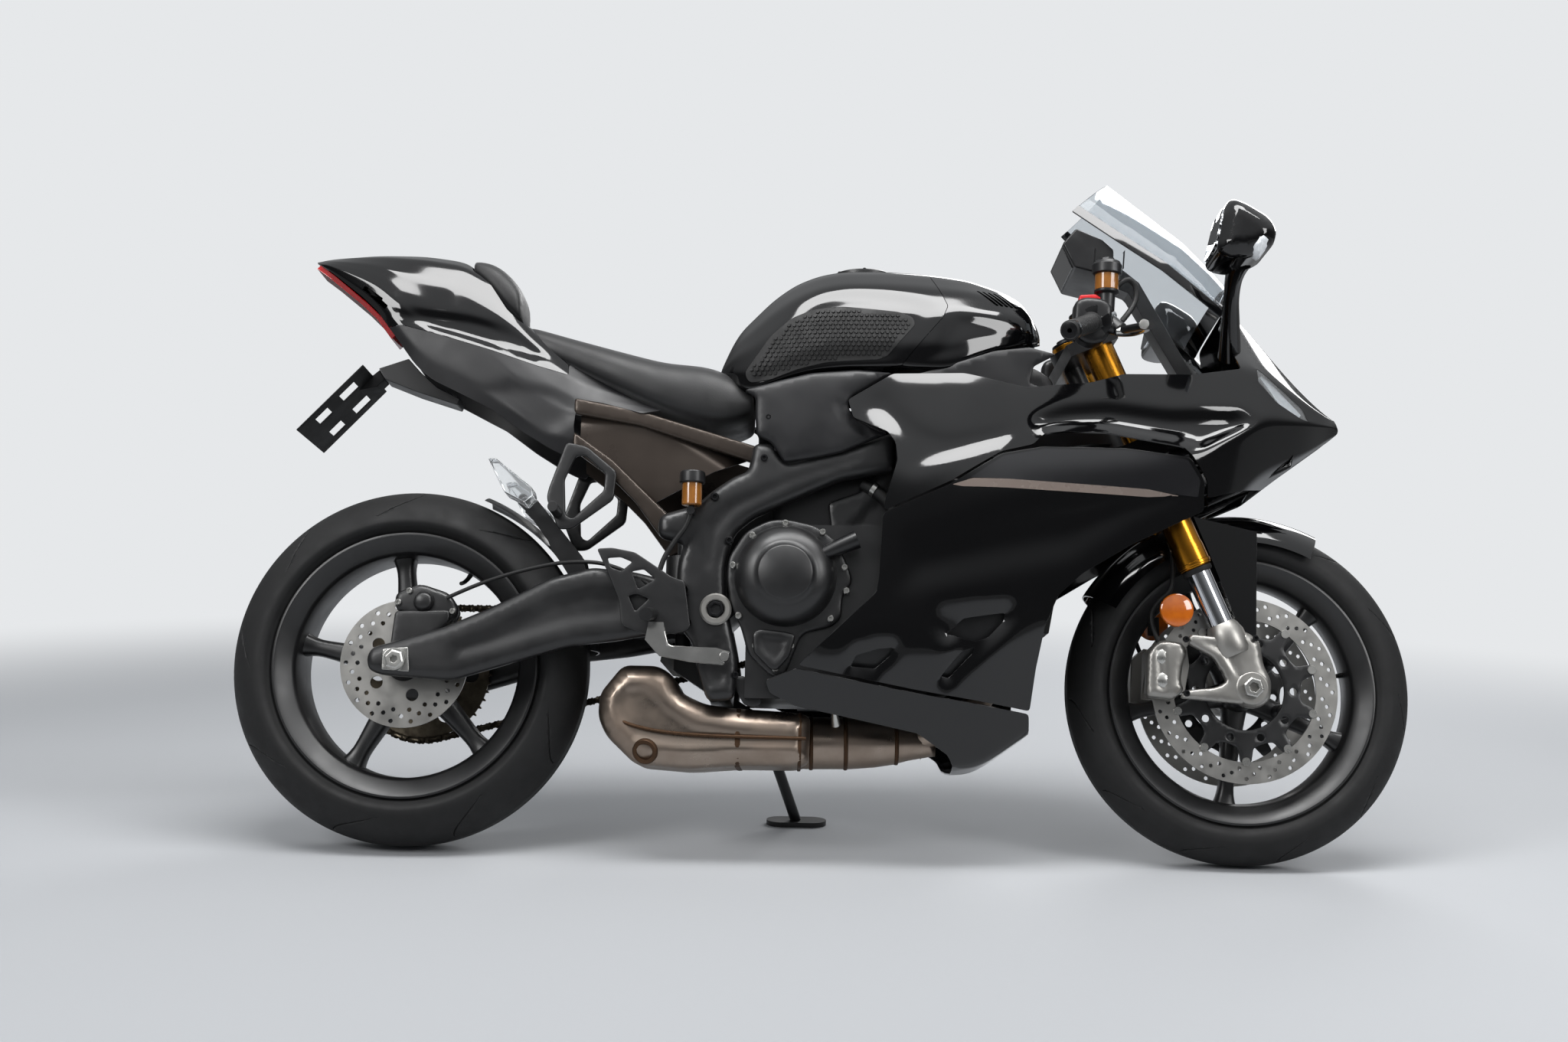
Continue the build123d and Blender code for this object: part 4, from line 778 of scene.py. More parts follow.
padOutline = [(-150, 832), (-106, 896), (-68, 930), (-35, 945), (18, 949), (120, 938), (142, 928), (146, 914),
              (98, 856), (84, 850), (-7, 845), (-58, 834), (-104, 818), (-140, 814)]
gripPad = hullPanel("tankGripPads", tankHull, padOutline, (), 8, 10, tankSides, thick=2, offset=1.4, stretch=1.0)
finishPiece(gripPad, "mouldedRubber", "chassis")


def hullPlaces(hull, outline, pitch, margin, offset, presses=()):
    # an even six-sided grid laid on the hull, both sides, each with the skin's own direction
    surface, sectionPlace = hull
    outline = np.array(outline, float)
    low, high = outline.min(axis=0), outline.max(axis=0)
    grid = np.array([(x + (pitch / 2 if row % 2 else 0), z) for row, z in enumerate(np.arange(low[1], high[1],
        pitch * 0.866)) for x in np.arange(low[0], high[0], pitch)])
    grid = grid[insideOutline(grid, outline) & (edgeDistance(grid, outline) > margin)]
    place = sectionPlace(grid[:, 0], grid[:, 1])
    skin = surface(grid[:, 0], place)
    normal = np.cross(surface(grid[:, 0], place + 2) - skin, surface(grid[:, 0] + 2, place) - skin)
    normal /= np.linalg.norm(normal, axis=1)[:, None]
    normal *= np.where(normal[:, 1] < 0, -1, 1)[:, None]
    skin = skin + normal * (offset - pressDepth(skin[:, [0, 2]], presses))[:, None]
    return [((x, side * y, z), (nx, side * ny, nz), 0, 1) for side in (-1, 1) for (x, y, z),
        (nx, ny, nz) in zip(skin, normal)]


def studMesh(low, high, tall, sides=6):
    # a plain tapered stud
    shape = bmesh.new()
    bmesh.ops.create_cone(shape, cap_ends=True, segments=sides, radius1=low, radius2=high, depth=tall)
    mesh = bpy.data.meshes.new("stud")
    shape.to_mesh(mesh)
    shape.free()
    return mesh


padStuds = repeatPiece("padStuds", studMesh(4.3, 3.3, 2.4), hullPlaces(tankHull, padOutline, 9.0, 7, 1.9, tankSides),
    "mouldedRubber")
finishPiece(padStuds, "mouldedRubber", "chassis")
for face in padStuds.data.polygons:
    face.use_smooth = False

fillerRing = spinPiece("fillerRing", [(46, -6), (46, 1.2), (47, 2), (55, 2), (57, 0.5), (57, -6)], (60, 0, 1044.5),
    (0, 0, 1))
finishPiece(fillerRing, "satinBlackPowderCoat", "chassis")

kneePanels = castPlate("kneePanels", [(-149, 792), (-86, 811), (-33, 825), (46, 832), (109, 828), (38, 783),
    (31, 770), (41, 746), (100, 720), (22, 685), (-30, 673), (-76, 665), (-99, 700), (-125, 712), (-128, 745),
    (-128, 780)], 150.3, 160, 7, step=8, corner=8, bulge=5, presses=[{"outline": [(20, 780), (24, 768), (36, 744),
    (96, 722), (60, 706), (20, 740), (0, 776)], "depth": 5, "soft": 14}])
finishPiece(kneePanels, "texturedAbs", "chassis", ["knee_panels"])
print("cowls and tank made")

# tail: gloss shell above, grained undertray panel below
tailStations = [  # x, half width, top, floor
    (-938, 30, 1047, 1036), (-926, 42, 1050, 1036), (-898, 52, 1054, 1016), (-840, 68, 1059, 970), (-810, 76, 1060, 944),
    (-783, 82, 1060, 906), (-735, 88, 1060, 842), (-704, 92, 1056, 816), (-662, 98, 1050, 796), (-594, 104, 1010, 762),
    (-538, 109, 930, 722), (-483, 113, 890, 690), (-445, 115, 866, 673), (-380, 117, 824, 720), (-290, 118, 780, 740)]
tailSection = [(0, 1.0), (0.45, 0.99), (0.66, 0.93), (0.84, 0.74), (0.93, 0.56), (1.0, 0.38), (0.97, 0.15),
    (0.88, 0.0)]
tailHull = makeHull([(x, [(half * u, floor + (top - floor) * v) for u, v in tailSection]) for x, half, top,
    floor in tailStations], 22, 22)
tailSeam = [(-791, 914), (-764, 917), (-709, 902), (-599, 869), (-517, 843), (-460, 828)]
tailTop = hullPanel("tailShell", tailHull, [(-936, 1045), (-934, 1080), (-640, 1080), (-648, 1030), (-612, 1000),
    (-578, 950), (-556, 930), (-530, 918), (-464, 851)] + tailSeam[::-1] + [(-810, 944), (-840, 972), (-898, 1018)],
    [[(-842, 985), (-836, 992), (-800, 966), (-806, 960)], [(-826, 972), (-820, 979), (-790, 952), (-797, 946)]], 7,
    5, [{"outline": [(-800, 925), (-764, 920), (-640, 885), (-520, 850), (-500, 866), (-560, 915), (-640, 935),
    (-740, 948)], "depth": 6, "soft": 12}], stretch=1.0)
tailUnder = hullPanel("tailUnder", tailHull, [(-783, 908)] + [(x, z - 0.8) for x, z in tailSeam] + [(-462, 850),
    (-393, 812), (-325, 775), (-292, 764), (-326, 756), (-398, 775), (-440, 782), (-446, 730), (-438, 690),
    (-449, 674), (-483, 691), (-538, 724), (-594, 764), (-662, 797), (-704, 817), (-735, 844)], (), 7, 6,
    [{"outline": [(-470, 800), (-430, 770), (-452, 730), (-490, 710), (-560, 760), (-620, 800), (-560, 820)],
    "depth": 4, "soft": 20}], stretch=1.0)
finishPiece(tailTop, "glossBlackLacquer", "chassis", ["tail_cowl"])
finishPiece(tailUnder, "texturedAbs", "chassis")


# seats: foam under a vinyl cover
def padPiece(name, stations, section, levels=2):
    # stations: x, half width, top, bottom; section: (share of the half width, share of the height).
    ring = [(u, v) for u, v in section] + [(-u, v) for u, v in section[-2:0:-1]]
    points = [(x, half * u, low + (high - low) * v) for x, half, high, low in stations for u, v in ring]
    count = len(ring)
    faces = [(i * count + j, i * count + (j + 1) % count, (i + 1) * count + (j + 1) % count, (i + 1) * count + j)
             for i in range(len(stations) - 1) for j in range(count)]
    faces += [tuple(range(count))[::-1], tuple((len(stations) - 1) * count + j for j in range(count))]
    piece = drawMesh(name, points, faces)
    faceOutward(piece)
    smooth = piece.modifiers.new("smooth", "SUBSURF")
    smooth.levels = smooth.render_levels = levels
    return bakeModifiers(piece)


seatSection = [(0, 1.0), (0.55, 0.99), (0.86, 0.90), (0.99, 0.60), (1.0, 0.25), (0.94, 0.0), (0.5, 0.0), (0, 0.0)]
riderSeat = padPiece("riderSeat", [
    (-543, 60, 927, 890), (-534, 70, 928, 884), (-479, 84, 911, 857), (-395, 106, 887, 816), (-324, 120, 868, 781),
    (-282, 124, 859, 762), (-234, 124, 858, 748), (-196, 118, 852, 742), (-160, 108, 832, 750), (-138, 98, 812, 760),
    (-132, 90, 800, 770)], seatSection)
finishPiece(riderSeat, "seatVinyl", "chassis", ["rider_seat"])
pillionSeat = padPiece("pillionSeat", [(-648, 52, 1048, 1028), (-640, 60, 1050, 1022), (-612, 68, 1047, 996),
    (-585, 72, 1030, 962), (-562, 68, 1004, 942), (-552, 60, 982, 938)], seatSection)
finishPiece(pillionSeat, "seatVinyl", "chassis", ["pillion_seat"])
print("tail and seats made")

# frame, swingarm: rounded castings over the solids' cross members
sparEdge = 117.5
frameRest = copySolid("main_frame", 3.0, lambda p: p.x < 116 and abs(p.y) > sparEdge and not (40 < p.x and p.z > 676
    and abs(p.y) < 132.5), "frameCrossMembers")
spars = castPlate("frameSpars", [(116, 729), (23, 693), (-76, 669), (-94, 702), (-130, 702), (-138, 652), (-162, 643),
    (-201, 615), (-226, 592), (-290, 572), (-290, 534), (-244, 522), (-253, 500), (-256, 470), (-250, 381),
    (-226, 355), (-215, 303), (-197, 254), (-152, 259), (-147, 318), (-157, 370), (-169, 422), (-173, 488),
    (-159, 542), (-127, 570), (-68, 598), (24, 640), (116, 657)], 117, 150, 14, step=8, corner=14, bulge=3,
    presses=[{"outline": [(-205, 300), (-190, 275), (-165, 280), (-160, 330), (-175, 370), (-200, 350)], "depth": 5,
    "soft": 10}, {"outline": [(-215, 470), (-190, 480), (-180, 540), (-150, 575), (-60, 625), (60, 670), (60, 690),
    (-80, 645), (-180, 600), (-215, 560)], "depth": 3, "soft": 22}])
mainFrame = joinMeshes("mainFrame", [frameRest, spars])
finishPiece(mainFrame, "satinBlackPowderCoat", "chassis", ["main_frame"])

armRest = copySolid("swingarm", 2.5, lambda p: p.x < -255 and abs(p.y) > 119.5, "swingarmCrossMembers")
arms = castPlate("swingarmBeams", [(-772, 296), (-776, 318), (-768, 334), (-649, 371), (-573, 405), (-471, 459),
    (-400, 479), (-330, 473), (-262, 458), (-262, 372), (-354, 354), (-439, 343), (-567, 301), (-631, 281),
    (-750, 288)], 119, 152, 13, step=8, corner=12, bulge=2, presses=[{"outline": [(-640, 345), (-560, 378),
    (-470, 430), (-400, 450), (-330, 445), (-330, 385), (-440, 368), (-570, 325), (-630, 310)], "depth": 4,
    "soft": 26}])
swingarm = joinMeshes("swingarmCasting", [armRest, arms])
finishPiece(swingarm, "satinBlackPowderCoat", "chassis", ["swingarm"])

pivotRing = spinPiece("pivotRing", [(15, 0), (15, 7), (17, 9), (24, 9), (27, 6), (27, 0)], (-187, -151, 410),
    segments=48)
pivotHex = spinPiece("pivotHex", [(0, 3), (9.5, 3), (9.5, 9), (14.5, 9), (14.5, 0)], (-187, -151, 410), segments=6)
finishPiece(pivotRing, "castAluminium", "chassis")
finishPiece(breakEdges(pivotHex, 0.6), "blackOxideSteel", "chassis")

# seat rails and pillion brackets
railRest = copySolid("subframe", 1.0, lambda p: abs(p.y) > 103.3 and p.x < -113, "railRest")
rails = [castPlate("seatRails", outline, 98, 115, 6, step=6, corner=7) for outline in ([(-446, 783), (-326, 761),
    (-110, 698), (-98, 684), (-112, 667), (-330, 735), (-446, 754)], [(-446, 723), (-376, 674), (-293, 595),
    (-256, 561), (-268, 542), (-286, 537), (-334, 600), (-374, 639), (-446, 690)])]
finishPiece(joinMeshes("seatRailFrame", [railRest] + [breakEdges(rail, 0) for rail in rails]),
    "bronzeAnodisedAluminium", "chassis", ["subframe"])
bracketRest = copySolid("pillion_footrests", 1.0, lambda p: abs(p.y) < 125.2
    and (p.x + 466) ** 2 + (p.z - 575) ** 2 > 10 ** 2, "pillionPegs")
brackets = castPlate("pillionBrackets", [(-456, 701), (-420, 694), (-366, 650), (-370, 601), (-440, 548), (-464, 547),
    (-486, 600), (-484, 616)], 115.3, 125, 4, [[(-456, 634), (-438, 676), (-422, 678), (-386, 646), (-388, 616),
    (-440, 566), (-452, 572)]], step=5, corner=8)
finishPiece(joinMeshes("pillionFootrests", [bracketRest, breakEdges(brackets, 0)]), "satinBlackPowderCoat",
    bodyOf["pillion_footrests"], ["pillion_footrests"])

# engine covers
clutchCentre = (-70, -145.2, 470)
clutch = spinPiece("clutchCover", [(0, 56), (44, 56), (47, 54), (49, 49), (56, 47), (68, 42), (79, 31), (85, 16),
    (87, 10), (88, 0)], clutchCentre, segments=96)
clutchRim = castPlate("clutchRim", [(-70, 568), (-100, 566), (-140, 545), (-168, 500), (-170, 460), (-160, 410),
    (-145, 385), (-130, 335), (-92, 300), (-70, 296), (-60, 320), (-40, 372), (10, 385), (26, 400), (28, 440),
    (44, 462), (40, 480), (18, 530), (-20, 558)], 130, 154, 6, step=8, corner=14, sides=(-1,))
lowCover = castPlate("lowCover", [(-124, 370), (-112, 378), (-68, 374), (-50, 369), (-60, 332), (-81, 308),
    (-91, 309), (-121, 338)], 150, 165, 5, step=6, corner=7, sides=(-1,), presses=[{"outline": [(-112, 366),
    (-66, 364), (-70, 336), (-84, 322), (-108, 340)], "depth": 2.5, "soft": 3}])
generator = spinPiece("generatorCover", [(0, 34), (40, 34), (52, 30), (62, 20), (66, 8), (66, 0)], (15, 145.2, 440),
    (0, 1, 0), segments=72)
engineRest = copySolid("engine_covers", 3.0, lambda p: p.y < -100 or p.x > -40, "sprocketCover")
covers = joinMeshes("engineCovers", [clutch, clutchRim, lowCover, generator, engineRest])
finishPiece(covers, "satinBlackPowderCoat", "chassis", ["engine_covers"])
inlet = castPlate("inletBlock", [(-96, 545), (12, 545), (60, 615), (112, 652), (118, 690), (104, 724), (20, 692),
    (-70, 664), (-96, 640)], -98, 98, 10, step=10, corner=8, sides=(-1,))
finishPiece(inlet, "mouldedPolypropylene", "chassis")
barrelSide = castPlate("barrelSides", [(8, 548), (40, 512), (176, 516), (200, 560), (236, 650), (110, 684), (60, 628),
    (0, 606)], 99, 112, 6, step=9, corner=10, presses=[{"outline": [(30, 560), (150, 540), (190, 620), (110, 650)],
    "depth": 4, "soft": 8}])
finishPiece(barrelSide, "satinBlackPowderCoat", "chassis")
shroud = castPlate("headShroud", [(290, 812), (290, 892), (335, 880), (372, 868), (398, 850), (408, 812)], -48, 48, 6,
    step=12, corner=8, sides=(-1,))
finishPiece(shroud, "texturedAbs", "chassis")
coolantHose = tubePiece("coolantHose", [(60, -112, 640), (92, -118, 622), (118, -116, 590), (126, -112, 548),
    (112, -112, 516)], 11)
finishPiece(coolantHose, "mouldedRubber", "chassis")
clips = [spinPiece("hoseClip", [(11.2, -4), (12.6, -4), (12.6, 4), (11.2, 4)], place, run, 28, True) for place, run in
         (((80, -116, 629), (0.8, -0.1, -0.55)), ((121, -114, 560), (0.05, 0.05, -1)))]
finishPiece(joinMeshes("hoseClips", clips), "zincPlatedSteel", "chassis")
sensor = tubePiece("speedSensor", [(-16, -168, 503), (10, -172, 514), (50, -172, 532)], 13, [10, 14, 16])
finishPiece(sensor, "mouldedPolypropylene", "chassis")
print("frame and engine covers made")


# wheels
def circleLoop(x, z, radius, count=24, start=0.0):
    return [(x + radius * cos(2 * pi * i / count + start), z + radius * sin(2 * pi * i / count + start))
        for i in range(count)]


def tyreProfile(radius, width, crown, foot):
    centre, half = radius - crown, width / 2
    full = np.degrees(np.arcsin(min(1, half / crown))) - 4
    worn = centre + crown * cos(lean)  # a little flat in the middle, as far as the parked bike leans
    side = [(crown * sin(radians(a)), min(worn, centre + crown * cos(radians(a)))) for a in np.linspace(0, full, 26)]
    y, r = side[-1]
    side += [(half - 0.2, r - 7), (half - 1.2, r - 13), ((half + foot) / 2 + 3, 239), (foot + 3, 233.5),
        (foot + 2.2, 230.5), (foot, 226), (foot - 2, 222.5)]
    inner = [(foot - 8, 226), (half - 10, 240), (half - 12, r - 6), (crown * 0.55, centre + crown * 0.72),
        (0, radius - 11)]
    loop = side + inner[:-1]
    return [(r, y) for y, r in loop] + [(inner[-1][1], 0)] + [(r, -y) for y, r in reversed(loop)][:-1]


def sipeCutter(centre, radius, crown, count, spread, first, angles, depth):
    # curved sipes: narrow blades that follow the tread from near its middle to the shoulder
    points, faces = [], []
    for side in (-1, 1):
        for index in range(count):
            start = radians(first + 360 / count * index + (180 / count if side > 0 else 0))
            base = len(points)
            steps = 9
            for k in range(steps + 1):
                t = k / steps
                roll = radians(angles[0] + (angles[1] - angles[0]) * t)
                turn = start + radians(spread) * t * t
                widthHere = 1.5 * min(1, 3 * t + 0.3, 3 * (1 - t) + 0.3)
                for reach in (crown - depth, crown + 4):
                    y, r = side * reach * sin(roll), radius - crown + reach * cos(roll)
                    for offset in (-widthHere, widthHere):
                        angle = turn + offset / radius
                        points.append((centre[0] + r * cos(angle), y, centre[2] + r * sin(angle)))
            for k in range(steps):
                a, b = base + 4 * k, base + 4 * (k + 1)
                for i, j in ((0, 1), (1, 3), (3, 2), (2, 0)):
                    faces.append((a + i, a + j, b + j, b + i))
            faces += [(base, base + 2, base + 3, base + 1), (b, b + 1, b + 3, b + 2)]
    cutter = drawMesh("sipeCutter", points, faces)
    return faceOutward(cutter)


tyres = [  # node, axle, radius, width, crown, bead half width, sipes each side, their spread, first angle
    ("rear_tyre", rearAxle, 313, 180, 97, 67.7, 9, 15, 8),
    ("front_tyre", frontAxle, 300, 120, 62, 44.7, 11, 13, 20)]
for node, axle, radius, width, crown, foot, count, spread, first in tyres:
    tyre = spinPiece(camelName(node), tyreProfile(radius, width, crown, foot), axle, (0, 1, 0), 180, True)
    cutter = sipeCutter(axle, radius, crown, count, spread, first, (22, 60), 3.2)
    cut = tyre.modifiers.new("sipes", "BOOLEAN")
    cut.operation, cut.object, cut.solver = "DIFFERENCE", cutter, "EXACT"
    bakeModifiers(tyre)
    bpy.data.objects.remove(cutter)
    finishPiece(breakEdges(tyre, 0, 40), "tyreRubber", bodyOf[node], [node])
    for side, label in ((-1, "Right"), (1, "Left")):
        beadLine = spinPiece(camelName(node) + "Rib" + label, [(foot_r, side * y) for foot_r,
            y in ((244.0, width / 2 - 3.4), (245.5, width / 2 - 1.4), (247.0, width / 2 - 2.6))], axle, (0, 1, 0),
            120)
        finishPiece(beadLine, "tyreRubber", bodyOf[node])


def rimWell(name, axle, half):
    profile = [(230, -half), (230, -half + 5), (226, -half + 7.7), (222, -half + 9), (219, -half + 24),
        (204, -half + 33), (200, 0), (204, half - 33), (219, half - 24), (222, half - 9), (226, half - 7.7),
        (230, half - 5), (230, half), (226.5, half + 0.6), (222, half - 1.5), (216, half - 6), (200, half - 17),
        (194, half - 24), (192, 0), (194, -half + 24), (200, -half + 17), (216, -half + 6), (222, -half + 1.5),
        (226.5, -half - 0.6)]
    return breakEdges(spinPiece(name, profile, axle, (0, 1, 0), 160, True), 0)


def spokeSet(name, axle, count, first, hubRadius, root, tip, thickRoot, thickTip, middle=0):
    points, faces = [], []
    around, along = 20, 18
    for spoke in range(count):
        turn = radians(first + 360 / count * spoke)
        base = len(points)
        for k in range(along + 1):
            t = k / along
            r = hubRadius + (196 - hubRadius) * t
            flare = max(0, t - 0.80) / 0.20
            half = (root + (tip - root) * min(1, t / 0.75) ** 0.7) / 2 + 7 * flare ** 2
            thick = (thickRoot + (thickTip - thickRoot) * t) / 2 + 5 * flare ** 2
            for j in range(around):
                a = 2 * pi * j / around
                u = abs(cos(a)) ** 0.62 * (1 if cos(a) > 0 else -1)
                v = abs(sin(a)) ** 0.62 * (1 if sin(a) > 0 else -1)
                s, y = u * half, v * thick + middle * (1 - t)
                points.append((axle[0] + r * cos(turn) - s * sin(turn), y, axle[2] + r * sin(turn) + s * cos(turn)))
        for k in range(along):
            for j in range(around):
                a, b = base + k * around + j, base + k * around + (j + 1) % around
                faces.append((a, b, b + around, a + around))
    piece = drawMesh(name, points, faces)
    faceOutward(piece)
    for face in piece.data.polygons:
        face.use_smooth = True
    return piece


rearWheel = joinMeshes("rearRim", [rimWell("rearWell", rearAxle, 76), spokeSet("rearSpokes", rearAxle, 5, 25, 40, 54,
    30, 62, 42, 4), spinPiece("rearHub", [(12.6, -76.5), (30, -76.5), (33, -74), (40, -60), (44, -40), (52, -24),
    (55, 0), (57, 40), (57, 60), (52, 84), (48, 103), (12.6, 103)], rearAxle, (0, 1, 0), 72, True)])
finishPiece(rearWheel, "satinBlackPowderCoat", "rear_wheel", ["rear_rim"])
frontWheel = joinMeshes("frontRim", [rimWell("frontWell", frontAxle, 53), spokeSet("frontSpokes", frontAxle, 5, -25,
    26, 44, 26, 46, 32), spinPiece("frontHub", [(12.6, -65.5), (26, -65.5), (30, -62), (31, -40), (34, -20), (34, 20),
    (31, 40), (30, 62), (26, 65.5), (12.6, 65.5)], frontAxle, (0, 1, 0), 72, True)] + [spinPiece("discBoss",
    [(0, -65.8), (11, -65.8), (13, -50), (15, 0), (13, 50), (11, 65.8), (0, 65.8)],
    (frontAxle[0] + 78 * cos(radians(a)), 0, frontAxle[2] + 78 * sin(radians(a))), (0, 1, 0), 24)
    for a in range(-25, 335, 72)])
finishPiece(frontWheel, "satinBlackPowderCoat", "front_wheel", ["front_rim"])

for node, axle, turn, body in (("rear", rearAxle, 61, "rear_wheel"), ("front", frontAxle, 11, "front_wheel")):
    ray = Vector((cos(radians(turn)), 0, sin(radians(turn))))
    valve = tubePiece(node + "Valve", [axle + ray * 196, axle + ray * 184, axle + ray * 172 + Vector((0, -18, 0)),
        axle + ray * 170 + Vector((0, -30, 0))], 4, [5, 4, 3.6, 3.6])
    finishPiece(valve, "mouldedRubber", body)

# discs: rotor, dark carrier, bobbins between them
cx, cz = frontAxle[0], frontAxle[2]
drilled = [circleLoop(cx + r * cos(radians(a + start)), cz + r * sin(radians(a + start)), 3.6, 10)
           for r, start in ((151, 0), (143, 5), (134, 10)) for a in range(0, 360, 15)]
rotors = castPlate("frontRotors", circleLoop(cx, cz, 160, 96), 66.2, 71, 0.7, [circleLoop(cx, cz, 123, 72)] + drilled,
    step=5.5, corner=1)
finishPiece(rotors, "groundStainlessSteel", "front_wheel", ["front_discs"])
carrier = []
for i in range(10):
    a = radians(18 + 36 * i)
    for r, off in ((96, -15), (100, -7.5), (124, -4.2), (124, 4.2), (100, 7.5), (96, 15)):
        b = a + radians(off)
        carrier.append((cx + r * cos(b), cz + r * sin(b)))
windows = [circleLoop(cx + 84 * cos(radians(a)), cz + 84 * sin(radians(a)), 6.5, 14) for a in range(0, 360, 36)]
carriers = castPlate("frontDiscCarriers", carrier, 65.8, 71.6, 1.5, [circleLoop(cx, cz, 68, 60)] + windows, step=6,
    corner=4)
finishPiece(carriers, "satinBlackPowderCoat", "front_wheel")
places = [((cx + 122 * cos(radians(18 + 36 * i)), side * 72, cz + 122 * sin(radians(18 + 36 * i))), (0, side, 0), 0,
    1) for side in (-1, 1) for i in range(10)]
finishPiece(repeatPiece("discBobbins", studMesh(8, 7, 3, 20), places, "zincPlatedSteel"), "zincPlatedSteel",
    "front_wheel")
rx, rz = rearAxle[0], rearAxle[2]
drilled = [circleLoop(rx + r * cos(radians(a + start)), rz + r * sin(radians(a + start)), 4, 10)
           for r, start in ((100, 0), (90, 10), (80, 20)) for a in range(0, 360, 20)]
rotor = castPlate("rearRotor", circleLoop(rx, rz, 110, 80), 77.2, 81.8, 0.7, [circleLoop(rx, rz, 30,
    40)] + drilled + [circleLoop(rx + 56 * cos(radians(a)), rz + 56 * sin(radians(a)), 11, 14)
    for a in range(0, 360, 72)], step=5.5, corner=1, sides=(-1,))
finishPiece(rotor, "groundStainlessSteel", "rear_wheel", ["rear_disc"])
print("wheels made")

# chain: outer and inner links turn about
chain = {"pitch": 15.875, "line": 107, "rearTeeth": 48, "frontTeeth": 16, "frontCentre": (-104, 0, 395),
         "waist": 4.6, "plateCentre": 7.94, "rollerRadius": 2.6, "rollerWidth": 18}
rearC, frontC = Vector((rx, 0, rz)), Vector(chain["frontCentre"])
rearR, frontR = (chain["pitch"] / 2 / sin(pi / chain[teeth]) for teeth in ("rearTeeth", "frontTeeth"))
apart = frontC - rearC
heading, reach = atan2(apart.z, apart.x), apart.length
tilt = np.arccos((rearR - frontR) / reach)


def chainPath():
    path = []
    for centre, radius, start, end in ((rearC, rearR, heading + tilt, heading + 2 * pi - tilt),
            (frontC, frontR, heading - tilt, heading + tilt)):
        path += [(centre[0] + radius * cos(a), centre[2] + radius * sin(a)) for a in np.linspace(start, end, 90)]
    path = np.array(path + path[:1])
    length = np.concatenate([[0], np.cumsum(np.linalg.norm(np.diff(path, axis=0), axis=1))])
    links = int(round(length[-1] / chain["pitch"] / 2)) * 2
    at = np.linspace(0, length[-1], links, endpoint=False)
    return np.stack([np.interp(at, length, path[:, 0]), np.interp(at, length, path[:, 1])], axis=1)


def linkPlateMesh(half, thick, waist):
    # a pair of waisted plates and the two pins through them
    centre, outline = chain["plateCentre"], []
    near = 6.2 if thick > 1.5 else 8.0
    for i in range(24):
        x, y = cos(2 * pi * i / 24), sin(2 * pi * i / 24)
        if abs(x) > 0.5:
            along = centre * (1 if x > 0 else -1) + half * x
        else:
            along = centre * 2 * x + half * x * 0.8
        outline.append((along, (half if abs(x) > 0.4 else waist) * y))
    shape = bmesh.new()
    for side in (-1, 1):
        low, high = ([shape.verts.new((x, y, side * z)) for x, y in outline] for z in (near, near + thick / 2))
        shape.faces.new(low)
        shape.faces.new(high)
        for i in range(24):
            j = (i + 1) % 24
            shape.faces.new((low[i], low[j], high[j], high[i]))
    for x in (-centre, centre):
        pin = bmesh.ops.create_cone(shape, cap_ends=True, segments=12, radius1=chain["rollerRadius"],
                                    radius2=chain["rollerRadius"], depth=chain["rollerWidth"])
        bmesh.ops.translate(shape, verts=pin["verts"], vec=(x, 0, 0))
    bmesh.ops.recalc_face_normals(shape, faces=shape.faces)
    mesh = bpy.data.meshes.new("linkPlate")
    shape.to_mesh(mesh)
    shape.free()
    return mesh


path = chainPath()
linkPlaces = ([], [])
for index, point in enumerate(path):
    ahead = path[(index + 1) % len(path)]
    middle, run = (point + ahead) / 2, ahead - point
    linkPlaces[index % 2].append((middle, degrees(atan2(run[1], run[0]))))
chainKinds = ((7.2, 1.8, "chainInnerLinks"), (7.2, 1.2, "chainOuterLinks"))
for which, (half, thick, label) in enumerate(chainKinds):
    places = [((x, chain["line"], z), (0, -1, 0), turn, 1) for (x, z), turn in linkPlaces[which]]
    links = repeatPiece(label, linkPlateMesh(half, thick, chain["waist"]), places, "oiledChainSteel")
    finishPiece(breakEdges(links, 0, 30), "oiledChainSteel", bodyOf["drive_chain"],
                ["drive_chain"] if which else ())
print("chain made")

# exhaust: silencer box, collector cone and headers
box = castPlate("silencerBox", [(-385, 228), (-370, 196), (-318, 148), (-226, 142), (-149, 149), (-45, 150),
    (-24, 156), (-22, 238), (-60, 243), (-151, 247), (-203, 253), (-243, 271), (-257, 300), (-284, 317), (-345, 317),
    (-383, 268)], -95, 132, 34, step=7, corner=14, sides=(-1,), bulge=3, presses=[{"outline": [(-360, 220),
    (-330, 180), (-240, 170), (-40, 176), (-40, 206), (-150, 214), (-215, 224), (-262, 254), (-300, 290), (-350, 285),
    (-366, 250)], "depth": 5, "soft": 26}])
cone = spinPiece("collectorCone", [(0, -60), (44, -60), (45, -20), (45, 48), (42, 90), (37, 124), (34, 134),
    (30, 150), (24, 185), (23, 196), (0, 196)], (0, -12, 196), (1, 0, 0.02), 72)
headers = copySolid("exhaust", 1.0, lambda p: p.x < -19.5 or (p.x < 171 and p.z < 236 and abs(p.y + 13) < 36),
    "headerPipes")
exhaust = joinMeshes("exhaustSystem", [breakEdges(box, 0), breakEdges(cone, 0), headers])
finishPiece(exhaust, "heatTintedSteel", "chassis", ["exhaust"])


